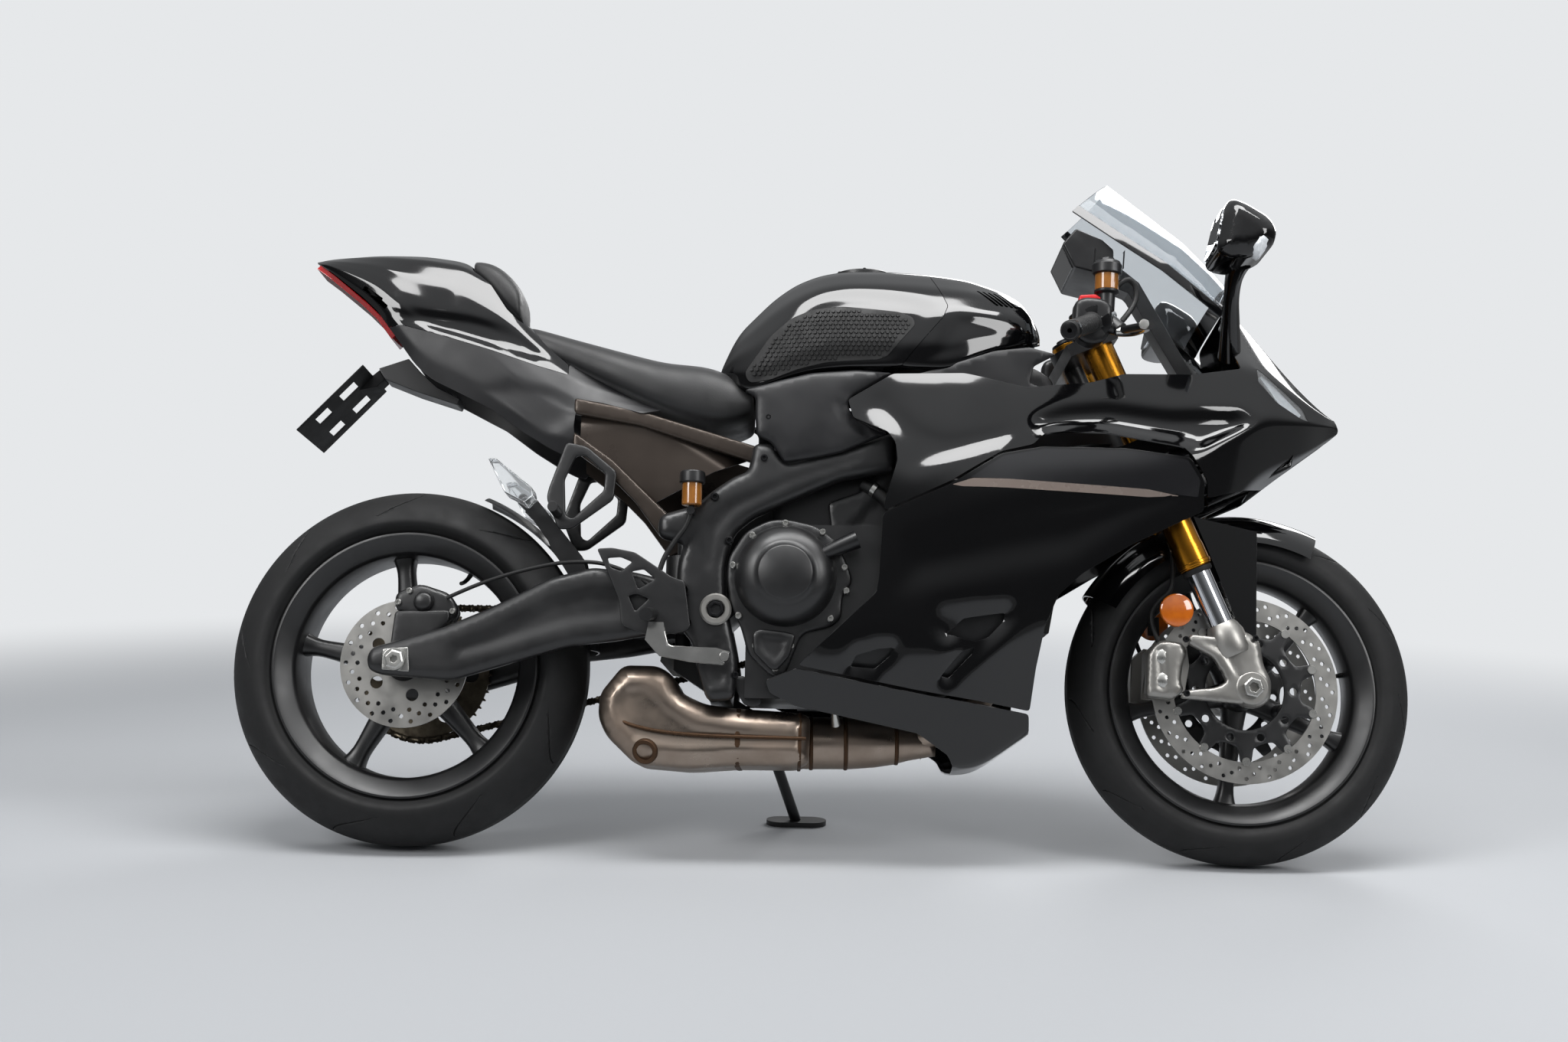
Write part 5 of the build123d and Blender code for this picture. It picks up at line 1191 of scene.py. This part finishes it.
def beltPiece(name, x, width, yLow, yHigh, zLow, zHigh, corner, high):
    # a band round the box, square to x
    ringOutline = []
    for cy, cz2, start in ((yHigh - corner, zHigh - corner, 0), (yLow + corner, zHigh - corner, 90),
                           (yLow + corner, zLow + corner, 180), (yHigh - corner, zLow + corner, 270)):
        ringOutline += [(cy + corner * cos(radians(start + a)), cz2 + corner * sin(radians(start + a)))
            for a in range(0, 91, 10)]
    points, faces = [], []
    middleY, middleZ = (yLow + yHigh) / 2, (zLow + zHigh) / 2
    profile = [(-width / 2, -1), (-width / 2, high * 0.6), (-width / 4, high), (width / 4, high),
        (width / 2, high * 0.6), (width / 2, -1)]
    for y, z in ringOutline:
        out = Vector((0, y - middleY, z - middleZ)).normalized()
        points += [(x + along, y + out.y * up, z + out.z * up) for along, up in profile]
    count = len(profile)
    for i in range(len(ringOutline)):
        j = (i + 1) % len(ringOutline)
        faces += [(i * count + k, j * count + k, j * count + k + 1, i * count + k + 1) for k in range(count - 1)]
    piece = drawMesh(name, points, faces)
    faceOutward(piece)
    return breakEdges(piece, 0)


seamBead = tubePiece("silencerSeamBead", [(-374, -104, 240), (-352, -126, 222), (-300, -134.5, 206),
    (-230, -135.5, 199), (-150, -136, 197), (-30, -131, 197)], 3.2)
outlet = spinPiece("silencerOutlet", [(14, -3), (14, 4), (20, 5), (22, 3), (22, -3)], (-300, -128, 170),
    (-0.25, -1, -0.35), 40)
bands = [seamBead, outlet, beltPiece("silencerBand", -145, 9, -130, 94, 149, 247, 36, 2.2),
         beltPiece("silencerSeam", -40, 6, -128, 92, 150, 242, 34, 1.8)]
bands += [spinPiece("coneBand" + str(x), [(r - 1, -4), (r + 1.5, -3), (r + 2, 0), (r + 1.5, 3), (r - 1, 4)],
    (x, -12, 196 + 0.02 * x), (1, 0, 0.02), 60) for x, r in ((-20, 45), (40, 45.2), (128, 36))]
finishPiece(joinMeshes("weldBands", bands), "oxidisedWeld", "chassis")
probe = tubePiece("lambdaProbe", [(22, -52, 226), (20, -60, 238), (18, -68, 252)], 6, [9, 7, 5])
finishPiece(probe, "zincPlatedSteel", "chassis")
probeLead = tubePiece("probeLead", [(18, -68, 252), (14, -74, 268), (0, -92, 284), (-20, -110, 292),
    (-40, -126, 300)], 3)
finishPiece(probeLead, "mouldedRubber", "chassis")
hanger = castPlate("silencerHanger", [(-160, 300), (-136, 300), (-108, 272), (-106, 254), (-118, 246), (-136, 252),
    (-150, 276)], 126, 134, 2.5, step=6, corner=5, sides=(-1,))
finishPiece(hanger, "satinBlackPowderCoat", "chassis")
print("exhaust made")


# fork: gold tubes, collars, cast feet, calipers
def forkPoint(along, side):
    return Vector((frontAxle[0] - along * sin(steerRake), side * forkHalfSpacing,
                   frontAxle[2] + along * cos(steerRake)))


forkAxis = (-sin(steerRake), 0, cos(steerRake))


def forkRings(name, profile, finish, replaced=()):
    rings = [breakEdges(spinPiece(name, profile, forkPoint(0, side), forkAxis, 64, True), 0.5) for side in (-1, 1)]
    return finishPiece(joinMeshes(name, rings), finish, "steering", replaced)


forkRings("forkOuterTubes", [(21.6, 223), (25, 223), (28.5, 226), (28.5, 262), (27.4, 266), (27, 300), (27, 712),
    (21.6, 712)], "goldAnodisedAluminium", ["fork_outer_tubes"])
forkRings("forkInnerTubes", [(0, 85), (21.5, 85), (21.5, 282), (0, 282)], "hardChromePlate",
    ["fork_inner_tubes"])
forkRings("forkSeals", [(21.7, 214), (24.5, 214), (26.5, 217), (26.5, 223), (21.7, 223)], "mouldedRubber")
forkRings("forkCollars", [(28.4, 228), (29.6, 229), (29.6, 234), (28.4, 235)], "goldAnodisedAluminium")
forkRings("forkCaps", [(6, 708), (24, 708), (25.5, 714), (24, 718), (14, 719), (13, 724), (6, 724)],
    "blackOxideSteel")

fx, fz = frontAxle[0], frontAxle[2]


def nearAxle(offsets):
    # side view points given from the front axle
    return [(fx + x, fz + z) for x, z in offsets]


feet = castPlate("forkFeet", nearAxle([(-46, 84), (-9.4, 99), (16.4, 82), (22, 40), (35, 14), (33, -20),
                              (12, -34), (-16, -31), (-27, 2), (-40, 50)]), 83, 127.5, 15, step=6, corner=10)
struts = castPlate("caliperArms", nearAxle([(-122, -20), (-112, -6), (-60, 0), (-42, 10), (-64, 50), (-108, 74),
    (-104, 90), (-34, 84), (-16, 40), (-4, 4), (-14, -28)]), 108, 127, 7, [nearAxle([(-60, 14), (-52, 14), (-48, 26),
    (-58, 34)])], step=6, corner=7, presses=[{"outline": nearAxle([(-100, 82), (-40, 74), (-26, 40), (-16, 10),
    (-30, 22), (-50, 56)]), "depth": 4, "soft": 8}])
clampRings = [spinPiece("footClamp", [(21.7, 62), (30, 62), (33, 70), (32, 100), (28, 112), (24, 120), (21.7, 120)],
    forkPoint(0, side), forkAxis, 56, True) for side in (-1, 1)]
axleBosses = [spinPiece("axleBoss", [(12.9, 82), (27, 82), (30, 90), (30, 122), (28, 127), (25, 128), (12.9, 128)],
    (fx, 0, fz), (0, side, 0), 56, True) for side in (-1, 1)]
finishPiece(joinMeshes("forkFeet", [breakEdges(feet, 0), breakEdges(struts, 0)] + clampRings + axleBosses),
    "castAluminium", "steering", ["fork_feet"])

caliperOutline = nearAxle([(-173, 60), (-150, 82), (-112, 77), (-104, 60), (-112, 40), (-116, 10), (-110, -4),
                  (-128, -21), (-176, -17)])
outerHalf = castPlate("caliperOuter", caliperOutline, 77, 107.5, 10, step=6, corner=9, bulge=3,
    presses=[{"outline": nearAxle([(-160, 70), (-144, 70), (-140, -8), (-158, -8)]), "depth": 3, "soft": 5}])
innerHalf = copySolid("front_calipers", 2.5, lambda p: abs(p.y) > 76.5, "caliperInner")
calipers = joinMeshes("frontCalipers", [breakEdges(outerHalf, 0), innerHalf])
finishPiece(calipers, "castAluminium", "steering", ["front_calipers"])
pistonCaps = [spinPiece("pistonCap", [(0, 109), (9, 109), (11, 107.5), (13, 107), (13, 104)], (fx - 147, 0, fz + h),
    (0, side, 0), 32) for side in (-1, 1) for h in (52, 12)]
finishPiece(joinMeshes("pistonCaps", pistonCaps), "zincPlatedSteel", "steering")
axleNut = spinPiece("axleNut", [(9, 128), (9, 140), (15, 140), (18, 138), (18, 128)], (fx, 0, fz), (0, -1, 0), 6,
    True)
axlePin = spinPiece("axlePin", [(8, -136), (12.4, -136), (12.4, 136), (8, 136)], (fx, 0, fz), (0, -1, 0), 40, True)
spacers = [spinPiece("wheelSpacer", [(12.6, 76), (18.8, 76), (18.8, 81.7), (12.6, 81.7)], (fx, 0, fz), (0, side, 0),
    40, True) for side in (-1, 1)]
finishPiece(joinMeshes("frontAxle", [breakEdges(axleNut, 0.6), axlePin] + spacers), "zincPlatedSteel",
    bodyOf["front_axle"], ["front_axle"])
reflector = [spinPiece("sideReflectors", [(0, 5), (24, 4.4), (28, 2), (29, -3), (0, -3)], (602, side * 112, 431),
    (0, side, 0), 40) for side in (-1, 1)]
finishPiece(joinMeshes("sideReflectors", reflector), "amberAcrylic", "steering")
reflectorStay = [boxPiece("reflectorStay", (604, side * 107.5, 428), (20, 3, 34), edge=0.8) for side in (-1, 1)]
finishPiece(joinMeshes("reflectorStays", reflectorStay), "mouldedPolypropylene", "steering")
for side, label in ((-1, "Right"), (1, "Left")):
    hose = tubePiece("frontBrakeHose" + label, [(fx - 150, side * 88, fz + 78), (fx - 168, side * 86, fz + 118),
        (fx - 150, side * 84, fz + 150), (602, side * 92, 470), (600, side * 84, 560), (574, side * 70, 640),
        (560, side * 50, 700)], 4.2)
    finishPiece(hose, "mouldedRubber", "steering")
print("fork made")

# cockpit, turning with the bars
gripIn, gripOut = Vector((446, -228, 906)), Vector((386, -345, 856))
barRun = (gripIn - gripOut).normalized()


def onBar(name, profile, segments=40):
    piece = spinPiece(name, profile, gripOut, barRun, segments, True)
    return [piece, mirrored(piece)]


gripRings = [(11.2, -1), (14, -2), (16.4, 0)]
for i in range(16):
    x = 3 + i * 7
    gripRings += [(16.4, x), (15.2, x + 1.4), (15.2, x + 3.0), (16.4, x + 4.4)]
gripRings += [(16.4, 117), (18.5, 118.5), (18.5, 121), (11.2, 121)]
finishPiece(joinMeshes("barGrips", onBar("grip", gripRings)), "mouldedRubber", "steering", ["grips"])
barEnds = onBar("barEnd", [(4.1, -2), (12, -2), (15.5, -0.5), (17, 2), (17, 12), (16.2, 14), (4.1, 14)])
finishPiece(joinMeshes("barEnds", barEnds), "blackOxideSteel", "steering")

pods = castPlate("switchPods", [(418, 878), (410, 900), (414, 944), (430, 952), (462, 950), (478, 936), (474, 890),
    (462, 872), (438, 868)], 184, 224, 9, step=5, corner=9)
controlsRest = copySolid("hand_controls", 1.5, lambda p: p.y < -170 and p.x < 500 and p.z > 915 and 450 < p.x,
    "controlsRest")
finishPiece(joinMeshes("handControls", [breakEdges(pods, 0), controlsRest]), "mouldedPolypropylene", "steering",
    ["hand_controls"])
killSwitch = castPlate("killSwitch", [(421, 945), (423, 957), (450, 959), (462, 952), (456, 944)], 192, 214, 3,
    step=4, corner=3, sides=(-1,))
finishPiece(breakEdges(killSwitch, 0), "redAbs", "steering")
lever = tubePiece("brakeLever", [(486, -222, 892), (504, -230, 889), (518, -258, 885), (524, -296, 879),
    (512, -338, 870), (506, -350, 868)], 7, [10, 10, 8, 7.5, 7, 8.5])
finishPiece(joinMeshes("levers", [lever, mirrored(lever)]), "polishedAluminium", "steering")
perch = tubePiece("leverPerch", [(452, -214, 908), (474, -216, 902), (492, -222, 892)], 12, [15, 13, 10])
finishPiece(joinMeshes("leverPerches", [perch, mirrored(perch)]), "satinBlackPowderCoat", "steering")
pot = spinPiece("fluidPot", [(0, 0), (17, 0), (20, 2), (20.5, 30), (0, 30)], (470, -205, 966), (0.03, 0, 1), 48)
finishPiece(breakEdges(pot, 0.6), "fluidPotPolycarbonate", "steering")
potParts = [spinPiece("potFoot", [(0, -34), (14, -34), (15, -6), (21, -3), (21.5, 1), (0, 1)], (470, -205, 966),
    (0.03, 0, 1), 48), spinPiece("potCap", [(0, 29), (22, 29), (25, 31), (25.5, 46), (24, 48), (22.5, 52), (0, 52)],
    (470, -205, 966), (0.03, 0, 1), 48), spinPiece("potCapTop", [(0, 52), (15, 52), (14, 58), (0, 58)],
    (470, -205, 966), (0.03, 0, 1), 8)]
finishPiece(joinMeshes("potCap", [breakEdges(part, 0.6) for part in potParts]), "mouldedPolypropylene", "steering")
potHose = tubePiece("potHose", [(484, -205, 972), (502, -204, 992), (520, -200, 984), (524, -198, 960),
    (512, -202, 934), (494, -210, 912)], 5)
finishPiece(potHose, "mouldedRubber", "steering")
bars = copySolid("handlebars", 1.5)
finishPiece(bars, "satinBlackPowderCoat", "steering", ["handlebars"])

mirrorShell = castPlate("mirrorShells", [(651, 1090), (641, 1065), (627, 994), (663, 985), (692, 990), (722, 1007),
    (730, 1033), (717, 1058), (674, 1084)], 222, 363, 30, step=7, corner=16)
mirrorLens = castPlate("mirrorLens", [(684, 1036), (706, 1040), (719, 1016), (697, 984), (676, 1000)], 310, 363.5, 24,
    step=5, corner=6)
finishPiece(breakEdges(mirrorLens, 0), "frostedLightGuide", bodyOf["mirrors"])
mirrorArm = tubePiece("mirrorArm", [(704, -96, 884), (694, -150, 930), (684, -200, 966), (680, -250, 994),
    (684, -272, 1004)], 14, [20, 16, 13, 16, 20])
mirrorFoot = mirrored(mirrorArm)
finishPiece(joinMeshes("mirrorHousings", [breakEdges(mirrorShell, 0), mirrorArm, mirrorFoot]), "glossBlackLacquer",
    bodyOf["mirrors"], ["mirrors"])


def mirrorGlassPiece(side):
    # set in the shell's rear face, in a dark surround
    outline = softOutline([(250, 10), (256, 80), (328, 84), (337, 60), (333, 16), (290, 8)], 12, 8)
    flat, faces = fillOutline(outline, [], 12)
    points = [(627 + (z / 96) * 22 - 3 + 7 * k, side * y, 996 + z * 0.98) for k in (0, 1) for y, z in flat]
    count = len(flat)
    allFaces = [tuple(f) for f in faces] + [tuple(count + i for i in f[::-1]) for f in faces]
    allFaces += [(b, a, count + a, count + b) for a, b in rimEdges(faces)]
    piece = drawMesh("mirrorGlass", points, allFaces)
    faceOutward(piece)
    return breakEdges(piece, 0.4)


finishPiece(joinMeshes("mirrorGlass", [mirrorGlassPiece(-1), mirrorGlassPiece(1)]), "silveredGlass",
    bodyOf["mirrors"])
dash = boxPiece("dashGlass", (423.5, 0, 1070), (3, 140, 42), (0, -25.5, 0), 1)
finishPiece(dash, "displayGlass", bodyOf["instrument_panel"])
print("cockpit made")

# foot controls, rear caliper, reservoir
caliperParts = [castPlate("rearCaliperOuter", [(-740, 402), (-742, 432), (-700, 450), (-648, 434), (-628, 404),
    (-642, 381), (-700, 388)], 88, 111.5, 9, step=5, corner=12, sides=(-1,), bulge=2),
    castPlate("rearCaliperInner", [(-738, 402), (-738, 432), (-700, 447), (-650, 432), (-632, 404), (-644, 383),
    (-700, 390)], 61, 71.5, 4, step=6, corner=10, sides=(-1,)), castPlate("rearCaliperBridge",
    [(-736, 432), (-700, 448), (-652, 433), (-646, 424), (-700, 431), (-734, 430)], 62, 110, 2, step=5, corner=3,
    sides=(-1,)), castPlate("rearCaliperBracket", [(-744, 298), (-706, 298), (-700, 330), (-644, 384), (-644, 404),
    (-700, 402), (-738, 400), (-744, 330)], 101, 119.5, 5, step=6, corner=7, sides=(-1,)),
    spinPiece("rearPiston", [(0, 124), (11, 124), (15, 121), (18, 114), (18, 104), (0, 104)], (-690, 0, 418),
    (0, -1, 0), 40)]
finishPiece(joinMeshes("rearCaliper", [breakEdges(part, 0) for part in caliperParts]), "satinBlackPowderCoat",
    bodyOf["rear_caliper"], ["rear_caliper"])
caliperPins = [((x, -112.5, z), (0, -1, 0), 0, 0.9) for x, z in ((-734, 416), (-640, 402), (-716, 436))]
pegPlates = castPlate("footrestPlates", [(-391, 508), (-365, 510), (-326, 503), (-262, 462), (-240, 455), (-228, 377),
    (-240, 368), (-300, 362), (-345, 378), (-350, 420), (-372, 470)], 162.2, 168, 2.4,
    [[(-372, 492), (-350, 494), (-330, 486), (-348, 470), (-366, 476)], [(-330, 470), (-310, 474), (-290, 458),
    (-318, 440)], [(-334, 428), (-320, 432), (-300, 424), (-322, 402)]], step=5, corner=6)
pegRest = copySolid("rider_footrests", 1.0, lambda p: 162 <= abs(p.y) <= 168.2 and not (p.x > -256
    and abs(p.y) < 163), "pegRest")
finishPiece(joinMeshes("riderFootrests", [breakEdges(pegPlates, 0), pegRest]), "satinBlackPowderCoat",
    bodyOf["rider_footrests"], ["rider_footrests"])
pedals = castPlate("footLevers", [(-300, 350), (-278, 326), (-227, 317), (-170, 313), (-160, 334), (-183, 341),
    (-262, 344), (-272, 382), (-296, 382)], 180.3, 189.6, 4, step=5, corner=7)
pedalRest = copySolid("foot_levers", 1.0, lambda p: 180.2 < abs(p.y) < 189.9, "pedalRest")
finishPiece(joinMeshes("footLevers", [breakEdges(pedals, 0), pedalRest]), "polishedAluminium", bodyOf["foot_levers"],
    ["foot_levers"])
rearPot = spinPiece("rearPot", [(0, 0), (15, 0), (17, 2), (17, 38), (0, 38)], (-232, -172, 584), (0, 0, 1), 40)
rearCap = spinPiece("rearPotCap", [(0, 38), (20, 38), (22, 40), (22, 56), (20, 59), (0, 60)], (-232, -172, 584),
    (0, 0, 1), 40)
potStay = spinPiece("potStay", [(0, 0), (7, 0), (7, 29.6), (0, 29.6)], (-233, -150.3, 575), (0, -1, 0), 24)
finishPiece(breakEdges(rearPot, 0.6), "fluidPotPolycarbonate", "chassis",
    ["brake_reservoir"])
finishPiece(joinMeshes("rearPotCap", [breakEdges(rearCap, 0.6), potStay]), "mouldedPolypropylene", "chassis")
rearHose = tubePiece("rearPotHose", [(-232, -172, 584), (-234, -172, 556), (-262, -168, 520), (-284, -164, 480),
    (-292, -160, 430)], 4.5)
finishPiece(rearHose, "mouldedRubber", "chassis")
brakeLine = tubePiece("rearBrakeLine", [(-650, -118, 424), (-600, -124, 448), (-520, -130, 474), (-440, -128, 492),
    (-360, -124, 488), (-300, -156, 450)], 3.5)
finishPiece(brakeLine, "mouldedRubber", "chassis")
axlePlates = castPlate("axlePlates", [(-747, 296), (-747, 331), (-704, 335), (-700, 293)], 151, 156, 2, step=5,
    corner=3)
axleNuts = [spinPiece("rearAxleNut", [(7, 152), (7, 168), (14, 168), (18.5, 165), (18.5, 152)], (rx, 0, rz),
    (0, side, 0), 6, True) for side in (-1, 1)]
finishPiece(joinMeshes("axlePlates", [breakEdges(axlePlates, 0)] + [breakEdges(nut, 0.6) for nut in axleNuts]),
    "zincPlatedSteel", "chassis")

# screws
screw = socketScrewMesh()
finishPiece(repeatPiece("caliperScrews", screw, caliperPins, "zincPlatedSteel"), "zincPlatedSteel", "chassis")
bodyScrews = [((x, side * (y + 0.4), z), (0, side, 0), 20, size) for side in (-1, 1) for x, z, y, size in (
    (-111, 674, 150, 1.0), (-194, 604, 150, 1.2), (-167, 529, 150, 1.1), (-150, 300, 150, 0.9), (-205, 330, 150, 0.9),
    (-105, 744, 160, 0.8), (114, 540, 184, 1.0), (108, 355, 150, 0.9), (-90, 690, 150, 0.8))]
finishPiece(repeatPiece("bodyScrews", screw, bodyScrews, "blackOxideSteel"), "blackOxideSteel", "chassis")
caseScrews = [((x, -155, z), (0, -1, 0), 35, 0.95) for x, z in ((-72, 560), (-128, 538), (-160, 486), (-148, 400),
    (-8, 546), (30, 486), (34, 446), (8, 398), (-118, 350), (-58, 350), (-84, 312))]
finishPiece(repeatPiece("caseScrews", screw, caseScrews, "zincPlatedSteel"), "zincPlatedSteel", "chassis")
capScrews = [((60 + 51 * cos(radians(a)), 51 * sin(radians(a)), 1046.3), (0, 0, 1), 0, 0.5)
    for a in range(30, 390, 60)]
finishPiece(repeatPiece("fillerScrews", screw, capScrews, "blackOxideSteel"), "blackOxideSteel", "chassis")
steerScrews = [((x, side * 128, z), (0, side, 0), 15, 0.9) for side in (-1, 1) for x,
    z in nearAxle([(-112, 80), (-112, -12), (6, 84)])]
finishPiece(repeatPiece("footScrews", screw, steerScrews, "blackOxideSteel"), "blackOxideSteel", "steering")
discScrews = [((cx + 78 * cos(radians(a)), side * 66, cz + 78 * sin(radians(a))), (0, side, 0), 10, 1.1)
    for side in (-1, 1) for a in range(-25, 335, 72)]
finishPiece(repeatPiece("discScrews", screw, discScrews, "blackOxideSteel"), "blackOxideSteel", "front_wheel")
print("details made")


# the rest keep their solids' own shapes, with broken edges
dressed = {  # node: finish and edge radius (mm)
    "engine": ("satinBlackPowderCoat", 3.0),
    "shock_absorber": ("satinBlackPowderCoat", 1.0),
    "rear_axle": ("zincPlatedSteel", 1.0),
    "rear_hugger": ("mouldedPolypropylene", 1.0),
    "rear_indicators": ("clearPolycarbonate", 2.0),
    "front_sprocket": ("oiledChainSteel", 0.5),
    "tail_lamp": ("redAcrylic", 1.0),
    "plate_hanger": ("mouldedPolypropylene", 1.5),
    "number_plate": ("mattPolypropylene", 1.0),
    "radiator": ("radiatorLacquer", 1.0),
    "cowl_stay": ("satinBlackPowderCoat", 1.5),
    "instrument_panel": ("mouldedPolypropylene", 3.0),
    "triple_clamps": ("satinBlackPowderCoat", 2.5),
    "front_mudguard": ("glossBlackLacquer", 1.0),
    "rear_sprocket": ("oiledChainSteel", 0.5),
    "side_stand": ("satinBlackPowderCoat", 2.0),
    "fuel_cap": ("satinBlackPowderCoat", 1.0),
}
for node, (finish, edge) in dressed.items():
    finishPiece(copySolid(node, edge), finish, bodyOf[node], [node])
print("solids dressed:", len(dressed))

# studio: pale floor fading into the pale surround, soft lamps
backdrop = linearColour("e6e8ea")
floorMaterial, floorTree, floorShader, _ = startMaterial("sealedStudioFloor", {"Base Color": linearColour("a9abae"),
    "Roughness": 0.85})
floorRay = addNode(floorTree, "ShaderNodeLightPath")
glow = addNode(floorTree, "ShaderNodeMapRange", {"To Min": 1.0, "To Max": 0.3},
    {"Value": floorRay.outputs["Is Glossy Ray"]})
fade = addNode(floorTree, "ShaderNodeEmission", {"Color": backdrop}, {"Strength": glow.outputs[0]})
radial = addNode(floorTree, "ShaderNodeTexGradient", {"gradient_type": "SPHERICAL"}, {"Vector": addNode(floorTree,
    "ShaderNodeMapping", {"Scale": (0.16, 0.16, 0.16)}, {"Vector": next(n for n in floorTree.nodes
    if n.type == "TEX_COORD").outputs["Object"]}).outputs[0]})
share = addNode(floorTree, "ShaderNodeMapRange", {"From Min": 0.35, "From Max": 0.66,
    "interpolation_type": "SMOOTHSTEP"}, {"Value": radial.outputs[1]})
blend = addNode(floorTree, "ShaderNodeMixShader", None, {0: share.outputs[0], 1: fade.outputs[0],
    2: floorShader.outputs[0]})
floorTree.links.new(blend.outputs[0],
    next(n for n in floorTree.nodes if n.type == "OUTPUT_MATERIAL").inputs["Surface"])
floorMesh = bpy.data.meshes.new("floor")
bm = bmesh.new()
bmesh.ops.create_circle(bm, cap_ends=True, segments=96, radius=14)
bm.to_mesh(floorMesh)
bm.free()
floor = linkMesh("floor", floorMesh)
floor.data.materials.append(floorMaterial)

lamps = [  # name, place, aim, width, height, watts
    ("ceiling", (0.2, -0.9, 3.2), (0, 0, 0.4), 3.4, 0.9, 110),
    ("cameraLeft", (-3.0, -3.0, 2.7), (-0.3, 0, 0.5), 1.6, 1.4, 70),
    ("cameraRight", (3.0, -2.6, 2.3), (0.4, 0, 0.4), 1.2, 1.4, 45),
    ("behind", (1.6, 3.4, 2.4), (0, 0, 0.7), 2.4, 1.6, 80),
]
for name, place, aim, width, height, watts in lamps:
    data = bpy.data.lights.new(name, "AREA")
    data.shape, data.size, data.size_y, data.energy = "RECTANGLE", width, height, watts
    lamp = bpy.data.objects.new(name, data)
    lamp.location = place
    lamp.rotation_euler = (Vector(aim) - Vector(place)).to_track_quat("-Z", "Y").to_euler()
    bpy.context.scene.collection.objects.link(lamp)

# camera, glossy and transmitted rays all meet the pale surround; for reflections it falls off towards the horizon,
# as in a room lit from above
world = bpy.data.worlds.new("paleStudio")
bpy.context.scene.world = world
world.use_nodes = True
sky = world.node_tree
sky.nodes.clear()
ray = addNode(sky, "ShaderNodeLightPath")
direction = addNode(sky, "ShaderNodeTexCoord")
height = addNode(sky, "ShaderNodeSeparateXYZ", None, {"Vector": direction.outputs["Generated"]})
rise = addNode(sky, "ShaderNodeMapRange", {"From Min": 0.12, "From Max": 0.85, "To Min": 0.10, "To Max": 1.0,
    "interpolation_type": "SMOOTHSTEP"}, {"Value": height.outputs[2]})
mirroredLight = addNode(sky, "ShaderNodeBackground", {"Color": backdrop}, {"Strength": rise.outputs[0]})
seen = addNode(sky, "ShaderNodeBackground", {"Color": backdrop, "Strength": 1.0})
lit = addNode(sky, "ShaderNodeBackground", {"Color": linearColour("d4d8dc"), "Strength": 0.55})
glossy = addNode(sky, "ShaderNodeMixShader", None, {0: ray.outputs["Is Glossy Ray"], 1: lit.outputs[0],
    2: mirroredLight.outputs[0]})
straight = addNode(sky, "ShaderNodeMath", {"operation": "MAXIMUM"}, {0: ray.outputs["Is Camera Ray"],
    1: ray.outputs["Is Transmission Ray"]})
choice = addNode(sky, "ShaderNodeMixShader", None, {0: straight.outputs[0], 1: glossy.outputs[0], 2: seen.outputs[0]})
addNode(sky, "ShaderNodeOutputWorld", None, {"Surface": choice.outputs[0]})

camera = bpy.data.objects.new("camera", bpy.data.cameras.new("camera"))
bpy.context.scene.collection.objects.link(camera)
bpy.context.scene.camera = camera
cameraPlace = {"position": (-45.4, -3411.5, 759.1), "yaw": -0.418, "pitch": 3.117, "roll": 1.181,
    "focalPixels": 2425.2, "pixelsWide": 2048, "sensor": 36.0}
camera.location = Vector(cameraPlace["position"]) / 1000
camera.data.sensor_width = cameraPlace["sensor"]
camera.data.lens = cameraPlace["focalPixels"] / cameraPlace["pixelsWide"] * cameraPlace["sensor"]
yaw, pitch, roll = (radians(cameraPlace[key]) for key in ("yaw", "pitch", "roll"))
forward = Vector((sin(yaw) * cos(pitch), cos(yaw) * cos(pitch), -sin(pitch)))
level = Vector((cos(yaw), -sin(yaw), 0))
upward = level.cross(forward)
right = level * cos(roll) + upward * sin(roll)
top = upward * cos(roll) - level * sin(roll)
camera.rotation_euler = Matrix((right, top, -forward)).transposed().to_euler()
bpy.context.scene.view_settings.view_transform = "Standard"

print("scene ready")
